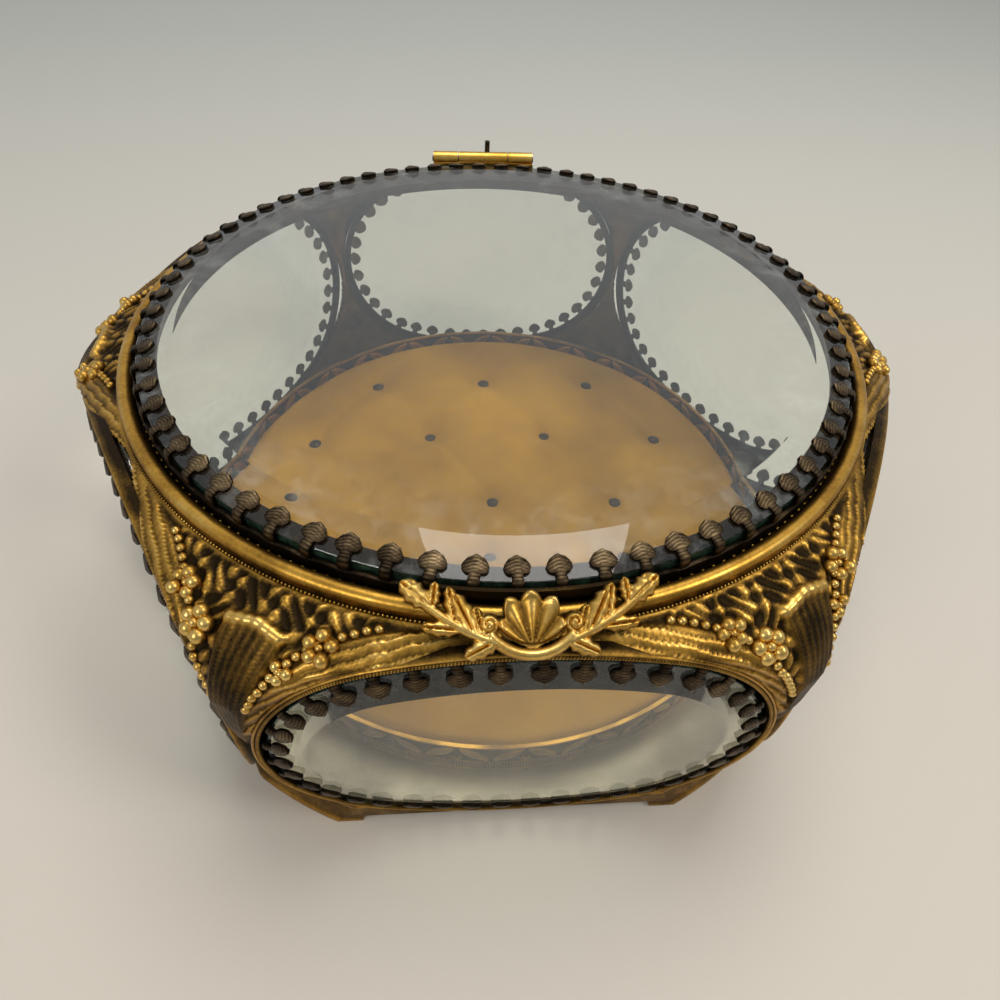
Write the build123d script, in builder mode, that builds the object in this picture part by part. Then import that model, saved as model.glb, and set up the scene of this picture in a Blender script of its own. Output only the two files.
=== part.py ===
from build123d import *
import os
from math import atan2, cos, degrees, floor, hypot, pi, radians, sin, sqrt, tan

os.makedirs("parts", exist_ok=True)

# Six-sided glazed jewelry casket with a round hinged glass lid.
# Millimetres, +Z up. The origin is at the middle of the surface the feet stand on.
# The front, with the shell on the lid, faces -Y. The hinge is at +Y.

# Lid glass and its prongs
prong_ring_radius = 80.0
prong_pitch = 7.08
prong_reach = 2.9
prong_neck_width = 2.1
prong_head_width = 4.6
prong_lobe_radius = 1.2
prong_metal = 0.7
prong_gap = 0.1
strip_thickness = 0.9
strip_height = 0.8
glass_gap = 0.2
lid_glass_thickness = 4.9
lid_bevel_width = 8.2
lid_bevel_drop = 2.0

# Lid ring
lid_gap = 0.3
lid_ledge = 2.5
lid_flange_thickness = 1.1
lid_flange_reach = 0.4
lid_seat_height = 3.6

# Rim moulding of the base
rim_height = 74.8
rim_ledge = 2.0
rim_ring_depth = 2.8
rim_step = 0.6
roll_radius = 1.6
roll_rise = 2.6

# Corner castings
sides = 6
wall_setback = 4.65
wall_thickness = 2.4
corner_round = 8.0
shoulder_drop = 20.8
shoulder_reach = 13.2
shoulder_bulge = 2.5
ankle_reach = 6.5
ankle_height = 8.0
foot_flare = 2.0
foot_width = 33.0
foot_lift = 3.0
solder_gap = 0.1

# Oval side windows
window_corner_margin = 3.7
window_sill = 2.6
window_end_rise = 2.4
frame_width = 1.8
frame_proud = 0.5
frame_rise = 0.2
pane_thickness = 3.6
pane_bevel_width = 7.0
pane_bevel_drop = 1.4
lip_thickness = 0.5
lip_reach = 1.2

# Hinge
barrel_radius = 2.2
barrel_clearance = 0.5
barrel_rise = 0.4
pin_radius = 0.8
pin_fit = 0.05
pin_end = 0.4
hinge_length = 32.0
middle_knuckle = 16.0
knuckle_gap = 0.3
strap_thickness = 0.45
strap_width = 2.6
hinge_block_depth = 4.2
stop_pin_radius = 0.8
stop_pin_rise = 4.4
stop_pin_side = 1.5
stop_pin_gap = 0.3

# Bottom, tray band and cushion
plate_thickness = 1.2
board_thickness = 2.2
band_margin = 0.8
band_thickness = 1.0
band_height = 12.4
band_bead_radius = 0.7
soft_gap = 0.3
cushion_side_gap = 0.5
cushion_side_height = 7.6
cushion_crown = 5.4
cushion_side_draw = 1.8
button_radius = 2.3
button_height = 1.5
button_spacing = 37.6
button_row_spacing = 29.6
button_row_shift = 8.4
button_edge_margin = 10.0
bare_tuft = (0, -1)
tuft_radius = 11.0
tuft_depth = 2.2

# Shell ornament, with places on its sloping plane
shell_slope = 30.0
shell_plate = 1.3
shell_focus = 9.8
shell_lobe_radius = 1.5
shell_lobes = {-52: 5.4, -27: 7.8, 0: 8.1, 27: 7.8, 52: 5.4}
shell_rib_width = 1.6
relief_width = 1.8
relief_height = 2.0
lip_depth = 10.4
lip_corner = (6.4, -7.6)
volute_radius = 2.0
volute_height = 2.5
volute_place = (6.9, -5.6)
branch_start = (5.0, -8.8)
branch_joint = (13.6, -4.4)
branch_tip = (19.4, 0.4)
branch_leaf_radius = 1.6
leaf_width = 2.4
side_leaf = ((9.4, -6.6), (12.0, -1.2))
foot_leaf = ((6.0, -8.6), (9.8, -10.0))
tab_width = 30.0
tab_thickness = 0.7
tab_height = 2.4

# Radii and heights that follow from the sizes above
head_offset = prong_head_width / 2 - prong_lobe_radius
head_tip = prong_reach + head_offset + prong_lobe_radius
head_over_glass = head_tip - strip_thickness / 2 - glass_gap
strip_outer_radius = prong_ring_radius + prong_reach + strip_thickness / 2
strip_inner_radius = strip_outer_radius - strip_thickness
glass_radius = strip_inner_radius - glass_gap
flange_radius = strip_outer_radius + lid_flange_reach
lid_ring_inner_radius = prong_ring_radius - lid_ledge
rim_inner_radius = prong_ring_radius - rim_ledge
roll_centre_radius = flange_radius + lid_gap + roll_radius
rim_radius = roll_centre_radius + roll_radius
rim_start = rim_radius + solder_gap
wall_apothem = rim_start + wall_setback
wall_inner_apothem = wall_apothem - wall_thickness
shoulder_radius = wall_apothem + shoulder_reach
ankle_radius = wall_apothem + ankle_reach
foot_radius = ankle_radius + foot_flare
rim_floor = rim_height - rim_ring_depth
rim_seat = rim_height - rim_step
roll_height = rim_seat + roll_rise
shoulder_height = rim_height - shoulder_drop
lid_base = rim_seat + lid_gap
flange_top = lid_base + lid_flange_thickness
glass_floor = lid_base + lid_seat_height
glass_top = glass_floor + lid_glass_thickness
glass_edge_top = glass_top - lid_bevel_drop
bevel_slope = lid_bevel_drop / lid_bevel_width
frame_top = rim_height + frame_rise
window_height = (window_sill + frame_top) / 2
window_half_height = (frame_top - window_sill) / 2 - frame_width
window_half_width = wall_apothem * tan(pi / sides) - window_corner_margin
pane_edge = pane_thickness - pane_bevel_drop
pane_margin = strip_thickness + glass_gap
head_floor = pane_edge + pane_bevel_drop * head_over_glass / pane_bevel_width + prong_gap
window_end_radius = window_half_height - window_end_rise
oval_centre = window_half_width - window_end_radius
oval_drop = (oval_centre**2 - window_end_rise**2) / (2 * window_end_rise)
oval_side_radius = window_half_height + oval_drop
oval_angle = degrees(atan2(oval_drop, oval_centre))
barrel_height = glass_edge_top + barrel_rise
barrel_y = strip_outer_radius + barrel_clearance + barrel_radius
barrel_base = barrel_height - barrel_radius
block_floor = frame_top + solder_gap
block_top = barrel_base - knuckle_gap
half_middle = (middle_knuckle - knuckle_gap) / 2
outer_knuckle = (hinge_length - middle_knuckle - knuckle_gap) / 2
stop_pin_y = barrel_y + barrel_radius + stop_pin_gap + stop_pin_radius
plate_top = foot_lift + plate_thickness
board_top = plate_top + board_thickness
band_radius = prong_ring_radius + band_margin
band_inner_radius = band_radius - band_thickness
band_top = plate_top + band_height
cushion_radius = band_inner_radius - cushion_side_gap
cushion_floor = board_top + soft_gap
cushion_edge = board_top + cushion_side_height
crown_edge = cushion_radius - cushion_side_draw
crown_radius = (crown_edge**2 + cushion_crown**2) / (2 * cushion_crown)
tuft_ball_radius = (tuft_radius**2 + tuft_depth**2) / (2 * tuft_depth)

side_turn = 360 / sides
corner_names = ("right", "back_right", "back_left", "left", "front_left", "front_right")
window_names = ("front", "front_right", "back_right", "back", "back_left", "front_left")


def window_plane(distance, turn=0):
    """Upright plane that faces outwards, a distance from the middle."""
    out = Vector(0, -1, 0).rotate(Axis.Z, turn)
    along = Vector(1, 0, 0).rotate(Axis.Z, turn)
    return Plane(origin=out * distance + Vector(0, 0, window_height), x_dir=along, z_dir=out)


def oval_wire(grow):
    """Four-centre outline of the windows, grown evenly by a distance."""
    end_sweep = 2 * oval_angle
    side_sweep = 180 - end_sweep
    end_radius = window_end_radius + grow
    side_radius = oval_side_radius + grow
    with BuildLine() as outline:
        CenterArc((oval_centre, 0), end_radius, -oval_angle, end_sweep)
        CenterArc((0, -oval_drop), side_radius, oval_angle, side_sweep)
        CenterArc((-oval_centre, 0), end_radius, 180 - oval_angle, end_sweep)
        CenterArc((0, oval_drop), side_radius, 180 + oval_angle, side_sweep)
    return outline.wire()


def oval(grow, mode=Mode.ADD):
    """Filled window outline in the current sketch."""
    make_face(oval_wire(grow).edges(), mode=mode)


def hexagon(apothem, rounding):
    """Rounded six-sided outline with flats to the front and the back."""
    RegularPolygon(radius=apothem, side_count=sides, major_radius=False)
    fillet(vertices(), rounding)


def shoulder_profile(foot, ankle, cheek, cheek_height, top, top_height):
    """Half section of the body: upright below, domed above."""
    middle = ((cheek + top) / 2 + shoulder_bulge, (cheek_height + 3 * top_height) / 4)
    with BuildLine() as profile:
        Polyline((0, top_height), (0, 0), (foot, 0), (ankle, ankle_height), (cheek, cheek_height))
        ThreePointArc((cheek, cheek_height), middle, (top, top_height))
        Line((top, top_height), (0, top_height))
    make_face(profile.edges())


def prong_places(path, head_line):
    """Places on a closed path, spaced by the length of the line the prong heads lie on."""
    count = round(head_line / prong_pitch)
    steps = [i / count for i in range(count)]
    return [Location(path @ t, (0, 0, path.tangent_angle_at(t))) for t in steps]


# One prong: a neck that starts in the strip, and a spade head of three lobes
with BuildSketch() as prong:
    with Locations((0, prong_reach / 2)):
        Rectangle(prong_neck_width, prong_reach)
    with Locations((-head_offset, prong_reach), (head_offset, prong_reach)):
        Circle(prong_lobe_radius)
    with Locations((0, prong_reach + head_offset)):
        Circle(prong_lobe_radius)

# Hollow inside the body castings
with BuildPart() as hollow:
    with BuildSketch():
        hexagon(wall_inner_apothem, corner_round - wall_thickness)
    extrude(amount=rim_floor - wall_thickness)
    with BuildSketch(Plane.XZ):
        ankle_inside = ankle_radius - wall_thickness
        cheek_inside = shoulder_radius - wall_thickness
        ceiling = rim_floor - wall_thickness
        shoulder_profile(
            ankle_inside, ankle_inside, cheek_inside, shoulder_height, rim_radius, ceiling
        )
    revolve(axis=Axis.Z, mode=Mode.INTERSECT)

# Whole body casting: a rounded hexagon under a domed shoulder, hollowed out
with BuildPart() as body:
    with BuildSketch():
        hexagon(wall_apothem, corner_round)
    extrude(amount=rim_height)
    with BuildSketch(Plane.XZ):
        shoulder_profile(
            foot_radius, ankle_radius, shoulder_radius, shoulder_height, rim_start, rim_height
        )
    revolve(axis=Axis.Z, mode=Mode.INTERSECT)
    add(hollow.part, mode=Mode.SUBTRACT)
    with BuildSketch(Plane.XY.offset(rim_floor)):
        Circle(rim_start)
    extrude(amount=rim_ring_depth, mode=Mode.SUBTRACT)
    with BuildSketch(Plane.XY.offset(rim_floor)):
        Circle(rim_inner_radius + wall_thickness)
    extrude(amount=-2 * wall_thickness, mode=Mode.SUBTRACT)

# One corner casting, at +X: cut round the window frames, with its foot left standing
with BuildPart() as corner:
    add(body.part)
    with BuildSketch():
        reach = 2 * shoulder_radius
        half = reach * tan(pi / sides)
        Polygon((0, 0), (reach, -half), (reach, half), align=None)
    extrude(amount=rim_height, mode=Mode.INTERSECT)
    for turn in (side_turn, 2 * side_turn):
        with BuildSketch(window_plane(wall_inner_apothem - lip_thickness - solder_gap, turn)):
            oval(frame_width + solder_gap)
        extrude(amount=shoulder_radius, mode=Mode.SUBTRACT)
    with BuildSketch():
        Circle(2 * shoulder_radius)
        with Locations((shoulder_radius, 0)):
            Rectangle(shoulder_radius, foot_width, mode=Mode.SUBTRACT)
    extrude(amount=foot_lift, mode=Mode.SUBTRACT)

for i, place in enumerate(corner_names):
    with BuildPart() as casting:
        add(corner.part.rotate(Axis.Z, i * side_turn))
    casting.part.label = f"corner_{place}"
    export_step(casting.part, f"parts/corner_{place}.step")

# Raised frame round a window opening
with BuildPart() as frame:
    with BuildSketch(window_plane(wall_inner_apothem)):
        oval(frame_width)
        oval(solder_gap, Mode.SUBTRACT)
    extrude(amount=wall_thickness + frame_proud)

# Prong strip of a window: a low wall round the pane, a back lip, and necks up to the heads
with BuildPart() as bezel:
    with BuildSketch(window_plane(wall_inner_apothem - lip_thickness)):
        oval(0)
        oval(-strip_thickness, Mode.SUBTRACT)
    extrude(amount=lip_thickness + strip_height)
    with BuildSketch(window_plane(wall_inner_apothem - lip_thickness)):
        oval(0)
        oval(-strip_thickness - lip_reach, Mode.SUBTRACT)
    extrude(amount=lip_thickness)
    bezel_line = oval_wire(-strip_thickness / 2)
    bezel_places = prong_places(bezel_line, bezel_line.length)
    with BuildSketch(window_plane(wall_inner_apothem + strip_height)):
        with Locations(*bezel_places):
            Rectangle(prong_neck_width, strip_thickness)
    extrude(amount=head_floor + prong_metal - strip_height)
    with BuildSketch(window_plane(wall_inner_apothem + head_floor)):
        with Locations(*bezel_places):
            add(prong.sketch)
    extrude(amount=prong_metal)

# Side pane, bevelled all round on its outer face
with BuildPart() as pane:
    with BuildSketch(window_plane(wall_inner_apothem)):
        oval(-pane_margin)
    extrude(amount=pane_edge)
    with BuildSketch(window_plane(wall_inner_apothem + pane_edge)):
        oval(-pane_margin)
    with BuildSketch(window_plane(wall_inner_apothem + pane_thickness)):
        oval(-pane_margin - pane_bevel_width)
    loft(ruled=True)

for i, place in enumerate(window_names):
    for piece, master in (("frame", frame), ("bezel", bezel), ("pane", pane)):
        with BuildPart() as window_piece:
            add(master.part.rotate(Axis.Z, i * side_turn))
        window_piece.part.label = f"window_{piece}_{place}"
        export_step(window_piece.part, f"parts/window_{piece}_{place}.step")

# Rim ring of the base: a flat seat with a rolled moulding outside it
with BuildPart() as base_top_ring:
    with BuildSketch(Plane.XZ):
        with BuildLine():
            Polyline(
                (rim_inner_radius, rim_floor),
                (rim_radius, rim_floor),
                (rim_radius, roll_height),
                (rim_radius - 2 * roll_radius, roll_height),
                (rim_radius - 2 * roll_radius, rim_seat),
                (rim_inner_radius, rim_seat),
                close=True,
            )
        make_face()
        with Locations((roll_centre_radius, roll_height)):
            Circle(roll_radius)
    revolve(axis=Axis.Z)
base_top_ring.part.label = "base_top_ring"
export_step(base_top_ring.part, "parts/base_top_ring.step")

# Bottom sheet between the castings
with BuildPart() as base_plate:
    with BuildSketch(Plane.XY.offset(foot_lift)):
        hexagon(wall_inner_apothem - solder_gap, corner_round - wall_thickness - solder_gap)
        Circle(ankle_inside - solder_gap, mode=Mode.INTERSECT)
    extrude(amount=plate_thickness)
base_plate.part.label = "base_plate"
export_step(base_plate.part, "parts/base_plate.step")

# Stamped band round the cushion, with a bead line at its top and bottom
with BuildPart() as tray_band:
    with BuildSketch(Plane.XZ):
        with BuildLine():
            Polyline(
                (band_inner_radius, plate_top),
                (band_radius, plate_top),
                (band_radius, band_top),
                (band_inner_radius, band_top),
                close=True,
            )
        make_face()
        bead_radius = band_radius - band_thickness / 2
        bead_heights = (plate_top + band_bead_radius, band_top - band_bead_radius)
        with Locations(*[(bead_radius, height) for height in bead_heights]):
            Circle(band_bead_radius)
    revolve(axis=Axis.Z)
tray_band.part.label = "tray_band"
export_step(tray_band.part, "parts/tray_band.step")

# Stiff disc that the cushion is drawn over
with BuildPart() as cushion_board:
    with BuildSketch(Plane.XY.offset(plate_top)):
        Circle(band_inner_radius - band_bead_radius)
    extrude(amount=board_thickness)
cushion_board.part.label = "cushion_board"
export_step(cushion_board.part, "parts/cushion_board.step")


def crown_height(x, y):
    """Height of the cushion's crown, before its tufts, above a place."""
    spread = x**2 + y**2
    return cushion_edge + cushion_crown + sqrt(crown_radius**2 - spread) - crown_radius


# Staggered rows of tufts, worked outwards from the middle row
button_places = []
row_reach = floor(cushion_radius / button_row_spacing)
for row in range(-row_reach, row_reach + 1):
    y = row * button_row_spacing - button_row_shift
    stagger = 0 if row % 2 == 0 else button_spacing / 2
    column_reach = floor(cushion_radius / button_spacing) + 1
    for column in range(-column_reach, column_reach + 1):
        x = column * button_spacing + stagger
        inside = hypot(x, y) < crown_edge - button_edge_margin
        if inside and (row, column) != bare_tuft:
            button_places.append((x, y))

# Velvet cushion: crowned on top, drawn in at the sides, pulled down at each button
with BuildPart() as cushion:
    with BuildSketch(Plane.XZ):
        with BuildLine():
            side_middle = (cushion_floor + cushion_edge) / 2
            Polyline((0, cushion_edge + cushion_crown), (0, cushion_floor), (crown_edge, cushion_floor))
            ThreePointArc(
                (crown_edge, cushion_floor),
                (cushion_radius, side_middle),
                (crown_edge, cushion_edge),
            )
            RadiusArc(
                (crown_edge, cushion_edge), (0, cushion_edge + cushion_crown), -crown_radius
            )
        make_face()
    revolve(axis=Axis.Z)
    for x, y in button_places:
        ball_height = crown_height(x, y) - tuft_depth + tuft_ball_radius
        with Locations((x, y, ball_height)):
            Sphere(tuft_ball_radius, mode=Mode.SUBTRACT)
cushion.part.label = "cushion"
export_step(cushion.part, "parts/cushion.step")

# Domed metal buttons, one in each tuft
with BuildPart() as cushion_buttons:
    for x, y in button_places:
        button_floor = crown_height(x, y) - tuft_depth + soft_gap
        dome_radius = (button_radius**2 + button_height**2) / (2 * button_height)
        with Locations((x, y, button_floor + button_height - dome_radius)):
            Sphere(dome_radius)
        with Locations((x, y, button_floor)):
            Cylinder(
                tuft_radius,
                2 * dome_radius,
                align=(Align.CENTER, Align.CENTER, Align.MAX),
                mode=Mode.SUBTRACT,
            )
cushion_buttons.part.label = "cushion_buttons"
export_step(cushion_buttons.part, "parts/cushion_buttons.step")

# Lid ring: a seat for the glass and a flange under the strip
with BuildPart() as lid_ring:
    with BuildSketch(Plane.XZ):
        with BuildLine():
            seat_radius = strip_inner_radius - solder_gap
            Polyline(
                (lid_ring_inner_radius, lid_base),
                (flange_radius, lid_base),
                (flange_radius, flange_top),
                (seat_radius, flange_top),
                (seat_radius, glass_floor),
                (lid_ring_inner_radius, glass_floor),
                close=True,
            )
        make_face()
    revolve(axis=Axis.Z)
lid_ring.part.label = "lid_ring"
export_step(lid_ring.part, "parts/lid_ring.step")

# Lid glass with its wide bevel
with BuildPart() as lid_glass:
    with BuildSketch(Plane.XZ):
        with BuildLine():
            Polyline(
                (0, glass_floor),
                (glass_radius, glass_floor),
                (glass_radius, glass_edge_top),
                (glass_radius - lid_bevel_width, glass_top),
                (0, glass_top),
                close=True,
            )
        make_face()
    revolve(axis=Axis.Z)
lid_glass.part.label = "lid_glass"
export_step(lid_glass.part, "parts/lid_glass.step")


def over_bevel(radius, lift):
    """Section point at a radius, lifted off the slope of the lid's bevel."""
    return (radius, glass_edge_top + (glass_radius - radius) * bevel_slope + prong_gap + lift)


# Prong strip of the lid: a low wall, necks up the glass edge and heads along the bevel
strip_middle = (strip_outer_radius + strip_inner_radius) / 2
lid_places = prong_places(Wire.make_circle(strip_middle), 2 * pi * prong_ring_radius)
with BuildPart() as lid_bezel:
    with BuildSketch(Plane.XY.offset(glass_floor)):
        Circle(strip_outer_radius)
        Circle(strip_inner_radius, mode=Mode.SUBTRACT)
        with Locations(*lid_places):
            add(prong.sketch)
    extrude(amount=2 * lid_glass_thickness)
    with BuildSketch(Plane.XZ):
        tip_radius = strip_middle - head_tip - prong_gap
        with BuildLine():
            Polyline(
                over_bevel(tip_radius, 0),
                over_bevel(strip_inner_radius, 0),
                (strip_inner_radius, glass_floor),
                (strip_outer_radius, glass_floor),
                over_bevel(strip_outer_radius, prong_metal),
                over_bevel(tip_radius, prong_metal),
                close=True,
            )
        make_face()
    revolve(axis=Axis.Z, mode=Mode.INTERSECT)
    with BuildSketch(Plane.XY.offset(glass_floor + strip_height)):
        Circle(flange_radius)
        Circle(glass_radius, mode=Mode.SUBTRACT)
        with Locations(*lid_places):
            Rectangle(prong_neck_width, 2 * prong_reach, mode=Mode.SUBTRACT)
    extrude(amount=lid_glass_thickness, mode=Mode.SUBTRACT)
    with BuildSketch(Plane.XY.offset(flange_top)):
        Circle(strip_outer_radius)
        Circle(strip_inner_radius, mode=Mode.SUBTRACT)
    extrude(amount=glass_floor - flange_top)
lid_bezel.part.label = "lid_bezel"
export_step(lid_bezel.part, "parts/lid_bezel.step")

# Base leaf of the hinge: a curved block behind the roll, with the two outer knuckles
with BuildPart() as hinge_base_leaf:
    with BuildSketch(Plane.XY.offset(block_floor)):
        Circle(rim_start + hinge_block_depth)
        Circle(rim_start, mode=Mode.SUBTRACT)
        with Locations((0, rim_start)):
            Rectangle(hinge_length, rim_start, mode=Mode.INTERSECT)
    extrude(amount=block_top - block_floor)
    with BuildSketch(Plane.YZ.offset(hinge_length / 2)):
        with Locations((barrel_y, barrel_height)):
            Circle(barrel_radius)
        with Locations((barrel_y, block_top)):
            Rectangle(barrel_radius, barrel_height - block_top, align=(Align.MIN, Align.MIN))
        with Locations((barrel_y, barrel_height)):
            Circle(pin_radius + pin_fit, mode=Mode.SUBTRACT)
    extrude(amount=-outer_knuckle)
    mirror(about=Plane.YZ)
    with BuildSketch(Plane.XY.offset(block_floor)):
        with Locations((stop_pin_side, stop_pin_y)):
            Circle(stop_pin_radius + solder_gap)
    extrude(amount=block_top - block_floor, mode=Mode.SUBTRACT)
hinge_base_leaf.part.label = "hinge_base_leaf"
export_step(hinge_base_leaf.part, "parts/hinge_base_leaf.step")

# Lid leaf of the hinge: a strap on the prong strip, with the middle knuckle
with BuildPart() as hinge_lid_leaf:
    strap_inner = strip_outer_radius + solder_gap
    strap_outer = strap_inner + strap_thickness
    with BuildSketch(Plane.XY.offset(barrel_height - strap_width)):
        Circle(strap_outer)
        Circle(strap_inner, mode=Mode.SUBTRACT)
        with Locations((0, strap_outer)):
            Rectangle(hinge_length, strap_outer, mode=Mode.INTERSECT)
    extrude(amount=strap_width)
    with BuildSketch(Plane.YZ):
        with Locations((barrel_y, barrel_height)):
            Circle(barrel_radius)
        with Locations((barrel_y, barrel_height)):
            web_length = barrel_y - strap_inner
            Rectangle(web_length, barrel_radius, align=(Align.MAX, Align.MAX))
        with Locations((barrel_y, barrel_height)):
            Circle(pin_radius + pin_fit, mode=Mode.SUBTRACT)
    extrude(amount=half_middle, both=True)
hinge_lid_leaf.part.label = "hinge_lid_leaf"
export_step(hinge_lid_leaf.part, "parts/hinge_lid_leaf.step")

# Hinge pin, which shows at both ends
with BuildPart() as hinge_pin:
    with BuildSketch(Plane.YZ):
        with Locations((barrel_y, barrel_height)):
            Circle(pin_radius)
    extrude(amount=hinge_length / 2 + pin_end, both=True)
hinge_pin.part.label = "hinge_pin"
export_step(hinge_pin.part, "parts/hinge_pin.step")

# Upright pin behind the barrel, which the open lid leans against
with BuildPart() as hinge_stop_pin:
    with BuildSketch(Plane.XY.offset(block_floor)):
        with Locations((stop_pin_side, stop_pin_y)):
            Circle(stop_pin_radius)
    extrude(amount=barrel_height + stop_pin_rise - block_floor)
hinge_stop_pin.part.label = "hinge_stop_pin"
export_step(hinge_stop_pin.part, "parts/hinge_stop_pin.step")


# Shell ornament on the lid's front: fan, lip, scrolls, leafy branches and a curved tab
shell_tilt = radians(shell_slope)
shell_plane = Plane(
    origin=(0, -strip_outer_radius - solder_gap, glass_edge_top),
    x_dir=(1, 0, 0),
    z_dir=(0, -sin(shell_tilt), cos(shell_tilt)),
)


def lobe_end(turn, length):
    """End of a shell lobe that fans out from the focus."""
    return (length * sin(radians(turn)), length * cos(radians(turn)) - shell_focus)


def both_sides(point):
    """The same place on the right and on the left of the shell."""
    return [point, (-point[0], point[1])]


def stroke(start, end, width):
    """Straight round-ended stroke on the right, and its twin on the left."""
    for first, last in zip(both_sides(start), both_sides(end)):
        with BuildLine() as line:
            Line(first, last)
        trace(line.edges(), line_width=width)
    with Locations(*both_sides(end)):
        Circle(width / 2)


def lip_and_branches():
    """Curved lip under the fan, and the two branches that run on from it."""
    lip_start, lip_end = both_sides(lip_corner)
    with BuildLine() as lip:
        ThreePointArc(lip_start, (0, -lip_depth), lip_end)
    trace(lip.edges(), line_width=relief_width)
    stroke(branch_start, branch_joint, relief_width)
    stroke(branch_joint, branch_tip, relief_width)


lobe_ends = [lobe_end(turn, length) for turn, length in shell_lobes.items()]
with BuildPart() as shell_ornament:
    with BuildSketch(shell_plane):
        for first, last in zip(lobe_ends, lobe_ends[1:]):
            Polygon((0, -shell_focus), first, last, align=None)
        with Locations(*lobe_ends):
            Circle(shell_lobe_radius)
        lip_and_branches()
        stroke(*side_leaf, leaf_width)
        stroke(*foot_leaf, leaf_width)
        with Locations(*both_sides(volute_place)):
            Circle(volute_radius)
        with Locations(*both_sides(branch_tip)):
            Circle(branch_leaf_radius)
    extrude(amount=shell_plate)
    with BuildSketch(shell_plane):
        for end in lobe_ends:
            with BuildLine() as spoke:
                Line((0, -shell_focus), end)
            trace(spoke.edges(), line_width=shell_rib_width)
        lip_and_branches()
    extrude(amount=relief_height)
    with BuildSketch(shell_plane):
        with Locations(*both_sides(volute_place)):
            Circle(volute_radius)
        with Locations(*both_sides(branch_tip)):
            Circle(branch_leaf_radius)
    extrude(amount=volute_height)
    with BuildSketch(Plane.XY.offset(glass_edge_top)):
        Circle(strip_outer_radius + solder_gap + tab_thickness)
        Circle(strip_outer_radius + solder_gap, mode=Mode.SUBTRACT)
        with Locations((0, -strip_outer_radius)):
            Rectangle(tab_width, strip_outer_radius, mode=Mode.INTERSECT)
    extrude(amount=-tab_height)
shell_ornament.part.label = "shell_ornament"
export_step(shell_ornament.part, "parts/shell_ornament.step")
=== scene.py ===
import math
import bmesh
import bpy
import numpy as np
from mathutils import Matrix, Vector


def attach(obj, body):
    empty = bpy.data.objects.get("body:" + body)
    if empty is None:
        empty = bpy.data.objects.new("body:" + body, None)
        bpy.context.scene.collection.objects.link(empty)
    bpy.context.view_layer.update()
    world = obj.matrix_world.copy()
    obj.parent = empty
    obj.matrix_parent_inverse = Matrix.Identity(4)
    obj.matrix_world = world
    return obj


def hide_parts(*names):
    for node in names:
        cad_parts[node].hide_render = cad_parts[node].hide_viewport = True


# Six-sided glazed jewelry casket in antique gilt brass, with a round bevelled glass lid.
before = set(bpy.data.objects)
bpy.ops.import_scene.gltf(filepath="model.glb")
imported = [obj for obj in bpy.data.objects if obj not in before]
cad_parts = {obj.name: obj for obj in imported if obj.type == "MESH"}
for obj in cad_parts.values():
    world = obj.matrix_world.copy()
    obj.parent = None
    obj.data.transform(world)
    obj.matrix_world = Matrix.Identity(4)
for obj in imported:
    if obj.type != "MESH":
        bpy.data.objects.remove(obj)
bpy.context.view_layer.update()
chance = np.random.default_rng(26)
cornerNames = ("right", "back_right", "back_left", "left", "front_left", "front_right")
windowNames = ("front", "front_right", "back_right", "back", "back_left", "front_left")
print("frame loaded:", len(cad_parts), "nodes")


def toLinear(hexColour):
    parts = [int(hexColour[i:i + 2], 16) / 255 for i in (1, 3, 5)]
    return tuple(c / 12.92 if c <= 0.04045 else ((c + 0.055) / 1.055) ** 2.4 for c in parts) + (1.0,)


def addNode(tree, kind, settings=None, links=None):
    # one shader node: sockets by name or number, properties by name, ramp colours as stops
    node = tree.nodes.new(kind)
    for key, value in (settings or {}).items():
        if key == "stops":
            stops = node.color_ramp.elements
            while len(stops) < len(value):
                stops.new(0.5)
            for stop, (position, colour) in zip(stops, value):
                stop.position, stop.color = position, toLinear(colour)
        elif isinstance(key, int) or key in node.inputs:
            node.inputs[key].default_value = value
        else:
            setattr(node, key, value)
    for key, socket in (links or {}).items():
        tree.links.new(socket, node.inputs[key])
    return node


def newMaterial(name):
    material = bpy.data.materials.new(name)
    material.use_nodes = True
    material.node_tree.nodes.clear()
    return material, material.node_tree


def objectPlace(tree):
    return addNode(tree, "ShaderNodeTexCoord").outputs["Object"]


def noise(tree, place, scale, detail, roughness=0.5):
    return addNode(tree, "ShaderNodeTexNoise", {"Scale": scale, "Detail": detail, "Roughness": roughness},
                   {"Vector": place}).outputs["Fac"]


def compute(tree, operation, *values, clamp=False):
    # maths node; each value is a number or a socket
    numbers = {i: value for i, value in enumerate(values) if isinstance(value, (int, float))}
    sockets = {i: value for i, value in enumerate(values) if i not in numbers}
    return addNode(tree, "ShaderNodeMath", {"operation": operation, "use_clamp": clamp, **numbers},
                   sockets).outputs[0]


def remap(tree, value, low, high, toLow=0.0, toHigh=1.0):
    return addNode(tree, "ShaderNodeMapRange", {"From Min": low, "From Max": high, "To Min": toLow,
                   "To Max": toHigh}, {"Value": value}).outputs["Result"]


def ramp(tree, value, stops):
    return addNode(tree, "ShaderNodeValToRGB", {"stops": stops}, {"Fac": value}).outputs["Color"]


def bumped(tree, height, strength, distance):
    return addNode(tree, "ShaderNodeBump", {"Strength": strength, "Distance": distance},
                   {"Height": height}).outputs["Normal"]


def surface(tree, shader):
    addNode(tree, "ShaderNodeOutputMaterial", links={"Surface": shader.outputs[0]})


def ringPoints(radius, angle, height):
    return np.stack([radius * np.cos(angle), radius * np.sin(angle), height + 0 * angle], -1)


def roundTurn(count):
    return np.arange(count) * 2 * math.pi / count


def travelAlong(points):
    return np.concatenate([[0], np.cumsum(np.linalg.norm(np.diff(points, axis=0), axis=1))])


def waves(turns):
    return 0.5 + 0.5 * np.cos(2 * math.pi * turns)


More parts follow.
